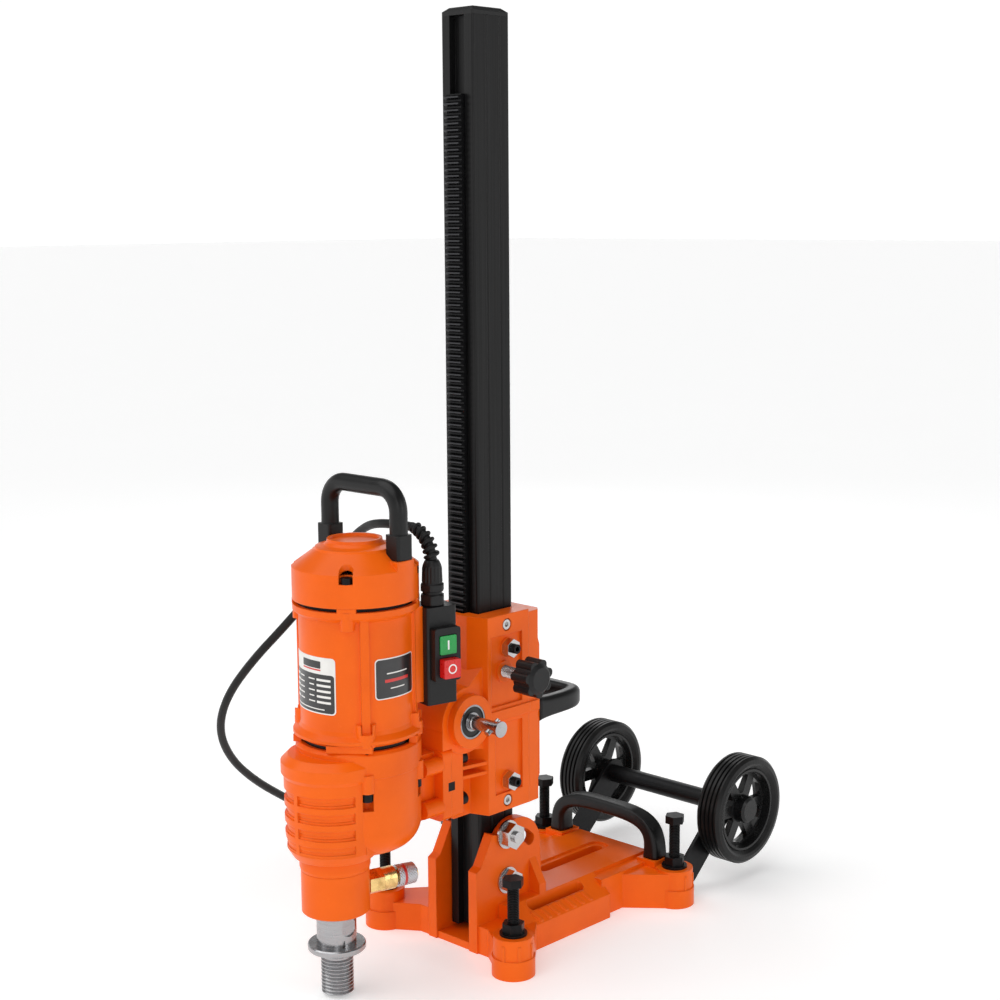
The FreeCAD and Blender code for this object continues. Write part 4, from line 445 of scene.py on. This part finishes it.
def shielded_bearing():
    """A bearing's bright races and black seal, told apart by distance from the crank shaft."""
    s = Surface("shielded_bearing", (0.6, 0.6, 0.62), 0.22, 1.0)
    away = s.distance(PINION_AXIS, (0, 1, 1))
    seal = s.math("MULTIPLY", s.math("GREATER_THAN", away, SEAL_INNER_R),
                  s.math("LESS_THAN", away, SEAL_OUTER_R))
    steel = s.mix(s.noise(300, 3), (0.42, 0.42, 0.43, 1), (0.22, 0.22, 0.23, 1))
    s.colour(s.mix(seal, steel, (0.005, 0.005, 0.005, 1)))
    s.feed(s.shader.inputs["Metallic"], s.span(seal, 1.0, 0.0))
    s.roughness(s.span(seal, 0.2, 0.5))
    s.bump(s.noise(900, 2), 0.02 * MM, 0.3)
    return s.material


# Reach from the motor axis and heights of the slot bands whose recessed inside is coloured near-black as
# painted shade.
SLOT_SHADE_REACH = 56.4 * MM
SLOT_SHADE_BANDS = ((250.0 * MM, 258.6 * MM), (389.4 * MM, 399.0 * MM))


def motor_paint():
    """The castings' paint, with painted shade in the slots that show above the gear case and below the end
    cap: their recessed inside is coloured near-black.
    """
    s = orange_paint("motor_paint")
    skin = s.shader.inputs["Base Color"].links[0].from_socket
    height = s.split()["Z"]
    slots = 0.0
    for low, high in SLOT_SHADE_BANDS:
        band = s.math("MULTIPLY", s.math("GREATER_THAN", height, low), s.math("LESS_THAN", height, high))
        slots = s.math("MAXIMUM", band, slots)
    inside = s.math("LESS_THAN", s.distance(MOTOR_AXIS, (1, 1, 0)), SLOT_SHADE_REACH)
    # Painted shade: the slots' recessed inside is coloured near-black.
    s.colour(s.mix(s.math("MULTIPLY", inside, slots), skin, (0.008, 0.007, 0.006, 1)))
    return s.material


TYRE_RIBS = 72.0


def tyre_rubber():
    """Tyre rubber with faint ribs round its shoulders."""
    s = rubber("tyre_rubber", 0.006, 0.36, 420)
    axle = middle("axle")
    place = s.split()
    angle = s.math("ARCTAN2", s.math("SUBTRACT", place["Y"], axle.y), s.math("SUBTRACT", place["Z"], axle.z))
    s.bump(s.math("SINE", s.math("MULTIPLY", angle, TYRE_RIBS)), 0.2 * MM, 0.08)
    return s.material


def paint_cad_nodes():
    """Gives every CAD node its material, by the record's slots, with a few nodes that have their own."""
    by_slot = {
        "orange_paint": orange_paint().material, "wheel_plastic": wheel_plastic(),
        "black_profile": black_profile(), "rack_steel": rack_steel(),
        "black_plastic": black_plastic(), "black_steel": black_steel(),
        "bright_screws": zinc(), "steel": turned_steel("turned_steel_z", "Z"), "brass": brass(),
        "tyre_rubber": tyre_rubber(), "cord_rubber": rubber("cord_rubber", 0.007, 0.45, 900).material,
        "slide_plastic": slide_plastic(),
        "green_plastic": button_plastic("green_plastic", (0.0, 0.33, 0.055)),
        "red_plastic": button_plastic("red_plastic", (0.72, 0.008, 0.006)), "copper_iron": windings(),
        "cast_inner": turned_steel("cast_inner", "Z", (0.45, 0.45, 0.46)), "collar_steel": knurled()}
    by_slot["black_screws"] = by_slot["black_steel"]
    own = {
        "motor_housing": motor_paint(), "pinion_shaft": turned_steel("turned_steel_x", "X", (0.5, 0.5, 0.51)),
        "pinion_bearings": shielded_bearing(),
        "motor_handle": black_plastic("grip_plastic", 380, 0.005, 0.36)}
    for part in frame["record"]["subparts"]:
        node = NODES[part["node"]]
        material = own.get(part["node"], by_slot[part["material_slot"]])
        for place in node.material_slots:
            place.material = material
        if not node.material_slots:
            node.data.materials.append(material)
    return by_slot


# ================= pieces =================

def new_piece(name, vertices, faces, materials, body, face_materials=None, smooth=True):
    """A mesh piece that rides on a body."""
    data = bpy.data.meshes.new(name)
    data.from_pydata([tuple(v) for v in vertices], [], faces)
    for material in materials:
        data.materials.append(material)
    for face in data.polygons:
        face.use_smooth = smooth
        if face_materials:
            face.material_index = face_materials[face.index]
    data.update()
    piece = bpy.data.objects.new(name, data)
    bpy.context.scene.collection.objects.link(piece)
    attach(piece, body)
    return piece


def tube_mesh(points, radii, sides):
    """Vertices and faces of a closed-ended tube along points."""
    vertices = []
    faces = []
    up = Vector((0.3, 0.2, 0.93))
    for k, (point, radius) in enumerate(zip(points, radii)):
        ahead = points[min(k + 1, len(points) - 1)] - points[max(k - 1, 0)]
        ahead.normalize()
        side = up.cross(ahead).normalized()
        up = ahead.cross(side).normalized()
        for n in range(sides):
            a = 2 * math.pi * n / sides
            vertices.append(point + (side * math.cos(a) + up * math.sin(a)) * radius)
    for k in range(len(points) - 1):
        for n in range(sides):
            m = (n + 1) % sides
            faces.append((k * sides + n, k * sides + m, (k + 1) * sides + m, (k + 1) * sides + n))
    faces.append(tuple(reversed(range(sides))))
    last = (len(points) - 1) * sides
    faces.append(tuple(range(last, last + sides)))
    return vertices, faces


def bend_relief(material):
    """The spiral bend relief: a coarse tapering coil round the cord, over the gland's quarter arc."""
    low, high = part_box("cable_gland")
    start = Vector(((low.x + high.x) / 2, (low.y + high.y) / 2, high.z - 2 * MM))
    reach = 28 * MM

    def on_arc(part):
        a = math.pi / 2 * part
        point = start + Vector((-reach * (1 - math.cos(a)), 0, reach * math.sin(a) + 2 * MM * part))
        ahead = Vector((-math.sin(a), 0, math.cos(a)))
        return point, ahead

    core = [on_arc(k / 24)[0] for k in range(25)]
    vertices, faces = tube_mesh(core, [CORD_R * 1.06] * 25, 20)
    coil = []
    radii = []
    turns = 6.5
    count = int(turns * 28)
    for k in range(count + 1):
        part = k / count
        point, ahead = on_arc(0.03 + 0.90 * part)
        out = Vector((0, 1, 0))
        across = ahead.cross(out)
        wide = (6.3 - 1.3 * part) * MM
        a = 2 * math.pi * turns * part
        coil.append(point + (out * math.cos(a) + across * math.sin(a)) * wide)
        radii.append((2.15 - 0.6 * part) * MM * min(1.0, 0.45 + 6 * part, 0.45 + 6 * (1 - part)))
    more, more_faces = tube_mesh(coil, radii, 12)
    offset = len(vertices)
    vertices += more
    faces += [tuple(i + offset for i in face) for face in more_faces]
    piece = new_piece("bend_relief_spiral", vertices, faces, [material], "carriage")
    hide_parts("bend_relief")


def polygon_radius(angle, sides, flat, corner):
    """The radius of a polygon with that distance to its flats, its corners cut at a radius."""
    sector = 2 * math.pi / sides
    return min(corner, flat / math.cos((angle % sector) - sector / 2))


def cable_gland(material):
    """The gland: a hexagon body, a sealing ring and a fluted dome nut."""
    low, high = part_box("cable_gland")
    foot = Vector(((low.x + high.x) / 2, (low.y + high.y) / 2, low.z))
    rise = high.z - low.z
    hexagon = (6, 10.9, 12.1)
    flutes = (16, 9.75, 9.75)
    plain = (1, 30, 30)
    rows = [(0, hexagon, 10.2), (1, hexagon, 12.1), (10, hexagon, 12.1), (11, hexagon, 10.6),
            (11.2, plain, 9.3), (13.4, plain, 9.3),
            (13.6, hexagon, 10.4), (14.6, hexagon, 11.8), (20.5, hexagon, 11.8), (21.5, hexagon, 10.2),
            (22, plain, 9.6), (23.5, flutes, 10.1), (36.5, flutes, 9.6),
            (39, plain, 9.0), (42.5, plain, 7.6), (44.2, plain, 6.4)]
    around = 96
    vertices = []
    for z, (sides, flat, corner), reach in rows:
        for k in range(around):
            a = 2 * math.pi * k / around
            r = min(reach, polygon_radius(a, sides, flat, corner)) if sides == 6 else reach
            if sides == 16:
                r = reach - 0.75 * (0.5 + 0.5 * math.cos(16 * a)) ** 3
            turned = a + math.radians(12)
            vertices.append(foot + Vector((r * math.cos(turned), r * math.sin(turned), 0)) * MM
                            + Vector((0, 0, z / 45 * rise)))
    faces = [tuple(reversed(range(around)))]
    for row in range(len(rows) - 1):
        for k in range(around):
            m = (k + 1) % around
            faces.append((row * around + k, row * around + m, (row + 1) * around + m, (row + 1) * around + k))
    last = (len(rows) - 1) * around
    faces.append(tuple(range(last, last + around)))
    piece = new_piece("gland_nuts", vertices, faces, [material], "carriage", smooth=False)
    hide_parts("cable_gland")


GRIP_STEPS = 72
FINE_STEPS = 720


def superellipse(half, height, power, count):
    """Points of half a superellipse, evenly spread, from one foot over the top to the other."""
    fine = []
    for k in range(FINE_STEPS + 1):
        a = math.pi * k / FINE_STEPS
        fine.append((-half * math.copysign(abs(math.cos(a)) ** (2 / power), math.cos(a)),
                     height * math.sin(a) ** (2 / power) if 0 < k < FINE_STEPS else 0.0))
    runs = [0.0]
    for one, two in zip(fine, fine[1:]):
        runs.append(runs[-1] + math.dist(one, two))
    points = []
    at = 0
    for k in range(count + 1):
        goal = runs[-1] * k / count
        while at < FINE_STEPS - 1 and runs[at + 1] < goal:
            at += 1
        part = (goal - runs[at]) / max(1e-9, runs[at + 1] - runs[at])
        points.append(tuple(o + (t - o) * part for o, t in zip(fine[at], fine[at + 1])))
    return points


def grip(name, node, material, path, across, sizes, corner, dents=None):
    """A moulded grip swept along a plane path. sizes gives its depth and thickness at a share of it."""
    vertices = []
    quarter = 6
    for k, point in enumerate(path):
        part = k / (len(path) - 1)
        ahead = (path[min(k + 1, len(path) - 1)] - path[max(k - 1, 0)]).normalized()
        out = ahead.cross(across)
        deep, thick = sizes(part)
        for sx, sy, first in ((1, 1, 0), (-1, 1, 90), (-1, -1, 180), (1, -1, 270)):
            for n in range(quarter + 1):
                a = math.radians(first + 90 * n / quarter)
                u = sx * (deep / 2 - corner) + corner * math.cos(a)
                v = sy * (thick / 2 - corner) + corner * math.sin(a)
                if dents:
                    v -= dents(part, u, v)
                vertices.append(point + across * u * MM + out * v * MM)
    ring = 4 * (quarter + 1)
    faces = [tuple(reversed(range(ring)))]
    for k in range(len(path) - 1):
        for n in range(ring):
            m = (n + 1) % ring
            faces.append((k * ring + n, k * ring + m, (k + 1) * ring + m, (k + 1) * ring + n))
    last = (len(path) - 1) * ring
    faces.append(tuple(range(last, last + ring)))
    piece = new_piece(name, vertices, faces, [material], "base" if node == "base_handle" else "carriage")
    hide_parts(node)
    return piece


def base_grip(material):
    """The arched carrying handle, with long soft shoulders, a broad top and wider feet."""
    low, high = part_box("base_handle")
    half = (high.x - low.x) / 2 / MM - 10.5
    rise = (high.z - low.z) / MM - 8.2
    middle_y = (low.y + high.y) / 2
    path = [Vector((x * MM, middle_y, low.z + z * MM)) for x, z in superellipse(half, rise, 3.6, GRIP_STEPS)]

    def sizes(part):
        end = abs(2 * part - 1)
        return 23.5 - 2.5 * (1 - end), 15.6 + 5.0 * end**5

    def dents(part, u, v):
        side = abs(abs(2 * part - 1) - 0.62) / 0.2
        return 1.3 * max(0.0, 1 - side**4) if v > 0 and abs(u) < 7.2 else 0.0

    grip("base_grip", "base_handle", material, path, Vector((0, 1, 0)), sizes, 5.6, dents)


def carriage_grip(material):
    """The level loop behind the carriage, thick and soft-edged."""
    low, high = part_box("carriage_handle")
    half = (high.x - low.x) / 2 / MM - 8.6
    reach = (high.y - low.y) / MM - 8.6
    middle_z = (low.z + high.z) / 2
    path = [Vector((x * MM, low.y + y * MM, middle_z)) for x, y in superellipse(half, reach, 5.0, GRIP_STEPS)]

    def sizes(part):
        end = abs(2 * part - 1)
        return 21.5 + 5.0 * end**9, 16.8

    grip("carriage_grip", "carriage_handle", material, path, Vector((0, 0, -1)), sizes, 6.2)


def curved_plate(middle_angle, width, low, high, radius, corner):
    """Vertices and faces of a thin plate with round corners, wrapped on the motor."""
    columns = 28
    lines = []
    for k in range(columns + 1):
        along = -width / 2 * math.cos(math.pi * k / columns)
        edge = width / 2 - abs(along)
        drop = 0.0
        if edge < corner:
            drop = corner - math.sqrt(max(0.0, corner**2 - (corner - edge) ** 2))
        angle = math.radians(middle_angle) + along / MOTOR_R
        out = Vector((math.cos(angle), math.sin(angle), 0))
        lines.append((out, low + drop, high - drop))
    vertices = []
    for depth in (radius, radius - 0.3 * MM):
        for out, z0, z1 in lines:
            for z in (z0, z1):
                vertices.append(MOTOR_AXIS + out * depth + Vector((0, 0, z)))
    faces = []
    back = 2 * (columns + 1)
    for k in range(columns):
        a, b, c, d = 2 * k, 2 * k + 2, 2 * k + 3, 2 * k + 1
        faces.append((a, b, c, d))
        faces.append((d + back, c + back, b + back, a + back))
        faces.append((a + back, b + back, b, a))
        faces.append((d, c, c + back, d + back))
    end = 2 * columns
    faces.append((0, 1, 1 + back, 0 + back))
    faces.append((end + 1, end, end + back, end + 1 + back))
    return vertices, faces


def label(name, middle_angle, areas, materials):
    """A plate of stacked curved areas, each (offset along, low, high, width, layer, corner, material)."""
    vertices = []
    faces = []
    picks = []
    for along, z0, z1, wide, layer, corner, pick in areas:
        turn = middle_angle + math.degrees(along * MM / MOTOR_R)
        radius = MOTOR_R + (0.35 + 0.14 * layer) * MM
        more, more_faces = curved_plate(turn, wide * MM, z0 * MM, z1 * MM, radius, corner * MM)
        offset = len(vertices)
        vertices += more
        faces += [tuple(i + offset for i in face) for face in more_faces]
        picks += [pick] * len(more_faces)
    return new_piece(name, vertices, faces, materials, "carriage", picks, smooth=False)


def motor_labels():
    """Two generic plates on the motor: pale and dark fields with blank bars in place of any print."""
    white = printed("label_white", (0.78, 0.77, 0.74))
    dark = printed("label_dark", (0.012, 0.012, 0.013))
    red = printed("label_red", (0.62, 0.02, 0.015))
    materials = [white, dark, red]
    rating = [(0, 289.5, 344.5, 66, 0, 4, 0), (0, 290.8, 328, 63.4, 1, 3, 1)]
    for row in range(5):
        z = 321.5 - 5.4 * row
        rating.append((-24 + 1.0 * (row % 2), z, z + 2.2, 9.5, 2, 0.4, 0))
        rating.append((-12, z + 0.5, z + 1.7, 9.0, 2, 0.3, 0))
        rating.append((5, z + 0.5, z + 1.7, 9.0 - 2 * (row % 2), 2, 0.3, 0))
        rating.append((20, z, z + 2.2, 16.0, 2, 0.4, 0))
    rating.append((-4, 293.5, 294.5, 50, 2, 0.3, 0))
    rating.append((4, 333.5, 340.5, 26, 1, 1.0, 1))
    rating.append((4, 331.2, 332.6, 26, 1, 0.3, 2))
    label("rating_plate", -97, rating, materials)
    plate = [(0, 303.5, 343, 50.4, 0, 4, 0), (0, 304.6, 341.9, 48.2, 1, 3.2, 1)]
    plate.append((0, 319.5, 322.5, 30, 2, 0.3, 2))
    plate.append((0, 327.5, 328.7, 26, 2, 0.3, 0))
    plate.append((0, 313.0, 314.0, 18, 2, 0.3, 0))
    label("name_plate", 1.75, plate, materials)


SWITCH_TURN = math.radians(-12)
BUTTON_T = 66.8
MARK_DEPTHS = (0.18, -0.1)


def on_switch(n, t, z):
    """A point given in the switch's own axes."""
    c, s = math.cos(SWITCH_TURN), math.sin(SWITCH_TURN)
    return MOTOR_AXIS + Vector((n * c - t * s, n * s + t * c, z)) * MM


def button_marks():
    """The bar and the ring moulded on the two buttons."""
    white = printed("mark_white", (0.82, 0.82, 0.8))
    start_z, start_face = 347.2, 60.0
    stop_z, stop_face = 325.0, 67.0
    outline = [(-0.9, -4.5), (0.9, -4.5), (0.9, 4.5), (-0.9, 4.5)]
    vertices = []
    for depth in MARK_DEPTHS:
        vertices += [on_switch(start_face + depth, BUTTON_T + t, start_z + h) for t, h in outline]
    faces = [(0, 1, 2, 3), (7, 6, 5, 4)]
    faces += [(k, k + 4, (k + 1) % 4 + 4, (k + 1) % 4) for k in range(4)]
    new_piece("start_mark", vertices, faces, [white], "start_key", smooth=False)
    sides = 40
    vertices = []
    faces = []
    for depth in MARK_DEPTHS:
        for r in (4.7, 3.5):
            for k in range(sides):
                a = 2 * math.pi * k / sides
                t, h = r * math.cos(a), r * math.sin(a)
                vertices.append(on_switch(stop_face + depth, BUTTON_T + t, stop_z + h))
    for k in range(sides):
        m = (k + 1) % sides
        faces.append((k, m, sides + m, sides + k))
        faces.append((2 * sides + k, 3 * sides + k, 3 * sides + m, 2 * sides + m))
        faces.append((k, 2 * sides + k, 2 * sides + m, m))
        faces.append((sides + k, sides + m, 3 * sides + m, 3 * sides + k))
    new_piece("stop_mark", vertices, faces, [white], "stop_key", smooth=False)


def hose_collar(material, red):
    """The coupling's sprung collar, with a modelled diamond knurl and a red ring."""
    direction = Vector((math.cos(math.radians(75)), math.sin(math.radians(75)), 0))
    side = Vector((0, 0, 1)).cross(direction)
    origin = Vector((0, SPINDLE_AXIS.y, 107 * MM))
    start = 65.8
    profile = [(0.0, 6.4), (0.0, 10.4), (0.6, 11.1), (5.4, 11.1), (5.8, 10.0), (6.6, 10.0), (8.2, 10.0),
               (8.6, 11.1), (19.2, 10.6), (20.0, 9.6), (20.0, 6.4)]
    ring_from, ring_to = 5.7, 8.3
    knurls = 21
    knurl_lean = 0.36
    knurl_depth = 0.85
    around = 168
    vertices = []
    picks = []
    rows = []
    for k, (x, r) in enumerate(profile[:-1]):
        x1, r1 = profile[k + 1]
        steps = int((x1 - x) * 3.4) if x1 - x > 4 else 1
        for n in range(steps):
            rows.append((x + (x1 - x) * n / steps, r + (r1 - r) * n / steps, steps > 1))
    rows.append((*profile[-1], False))
    for x, r, cut in rows:
        for k in range(around):
            a = 2 * math.pi * k / around
            depth = 0.0
            if cut:
                one = abs(((a * knurls / (2 * math.pi) + x * knurl_lean) % 1) - 0.5) * 2
                two = abs(((a * knurls / (2 * math.pi) - x * knurl_lean) % 1) - 0.5) * 2
                depth = knurl_depth * max(one, two) ** 3
            out = side * math.cos(a) + Vector((0, 0, 1)) * math.sin(a)
            vertices.append(origin + direction * (start + x) * MM + out * (r - depth) * MM)
    faces = []
    for row in range(len(rows)):
        after = (row + 1) % len(rows)
        for k in range(around):
            m = (k + 1) % around
            faces.append((row * around + k, row * around + m, after * around + m, after * around + k))
            picks.append(1 if ring_from < rows[row][0] < ring_to else 0)
    piece = new_piece("knurled_collar", vertices, faces, [material, red], "collar", picks)
    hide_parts("hose_collar")


# ================= stage =================

FLOOR_SIZE = 40.0
FLOOR_GLOW = 0.3
SKY_LOW, SKY_HIGH = 1.03, 0.16
SKY_FADE_FROM, SKY_FADE_TO = 0.15, 0.45
SUN_LIGHT = 1.75
SUN_SPREAD = math.radians(70)
SUN_TURN = (math.radians(24), math.radians(-10), 0)
LAMP_AIM = Vector((0, -0.08, 0.32))
# name, place, width, height, power
LAMPS = (("key", (1.9, -1.9, 1.5), 0.35, 1.6, 7), ("left", (-1.3, -2.0, 1.2), 0.3, 1.7, 3),
         ("right", (2.3, 0.5, 1.1), 0.35, 1.6, 6), ("rim", (-1.7, 1.9, 1.6), 0.6, 1.5, 5))


def make_stage():
    """A glowing white floor, a sky that is white near the horizon and dim above, and soft lamps."""
    data = bpy.data.meshes.new("floor")
    size = FLOOR_SIZE
    corners = [(-size, -size, 0), (size, -size, 0), (size, size, 0), (-size, size, 0)]
    data.from_pydata(corners, [], [(0, 1, 2, 3)])
    floor = bpy.data.objects.new("floor", data)
    bpy.context.scene.collection.objects.link(floor)
    s = Surface("floor_white", (0.9, 0.9, 0.9), 0.7, Emission_Color=(1, 1, 1, 1),
                Emission_Strength=FLOOR_GLOW)
    s.colour(s.mix(s.noise(2, 2), (0.91, 0.91, 0.91, 1), (0.89, 0.89, 0.89, 1)))
    data.materials.append(s.material)
    world = bpy.data.worlds.new("studio")
    world.use_nodes = True
    background = world.node_tree.nodes["Background"]
    background.inputs["Color"].default_value = (1, 1, 1, 1)
    tree = world.node_tree
    way = tree.nodes.new("ShaderNodeTexCoord")
    split = tree.nodes.new("ShaderNodeSeparateXYZ")
    sky = tree.nodes.new("ShaderNodeMapRange")
    for name, number in (("From Min", SKY_FADE_FROM), ("From Max", SKY_FADE_TO), ("To Min", SKY_LOW),
                         ("To Max", SKY_HIGH)):
        sky.inputs[name].default_value = number
    tree.links.new(way.outputs["Generated"], split.inputs["Vector"])
    tree.links.new(split.outputs["Z"], sky.inputs["Value"])
    tree.links.new(sky.outputs["Result"], background.inputs["Strength"])
    bpy.context.scene.world = world
    bpy.context.scene.view_settings.view_transform = "Standard"
    sun = bpy.data.lights.new("sky_panel", "SUN")
    sun.energy = SUN_LIGHT
    sun.angle = SUN_SPREAD
    panel = bpy.data.objects.new("sky_panel", sun)
    panel.rotation_euler = SUN_TURN
    bpy.context.scene.collection.objects.link(panel)
    for name, place, width, height, power in LAMPS:
        light = bpy.data.lights.new(name, "AREA")
        light.shape = "RECTANGLE"
        light.size = width
        light.size_y = height
        light.energy = power
        lamp = bpy.data.objects.new(name, light)
        lamp.location = place
        lamp.rotation_euler = (LAMP_AIM - Vector(place)).to_track_quat("-Z", "Y").to_euler()
        bpy.context.scene.collection.objects.link(lamp)


def write_sizes():
    """Updates the view layer."""
    bpy.context.view_layer.update()


def main():
    make_camera()
    cord, points = make_cord()
    slots = paint_cad_nodes()
    cord.data.materials.append(slots["cord_rubber"])
    bend_relief(slots["cord_rubber"])
    cable_gland(slots["black_plastic"])
    base_grip(black_plastic("base_grip_plastic", 420, 0.005, 0.38))
    carriage_grip(black_plastic("carriage_grip_plastic", 400, 0.005, 0.34))
    motor_labels()
    button_marks()
    hose_collar(slots["collar_steel"], printed("ring_red", (0.6, 0.02, 0.015)))
    make_stage()
    write_sizes()


main()
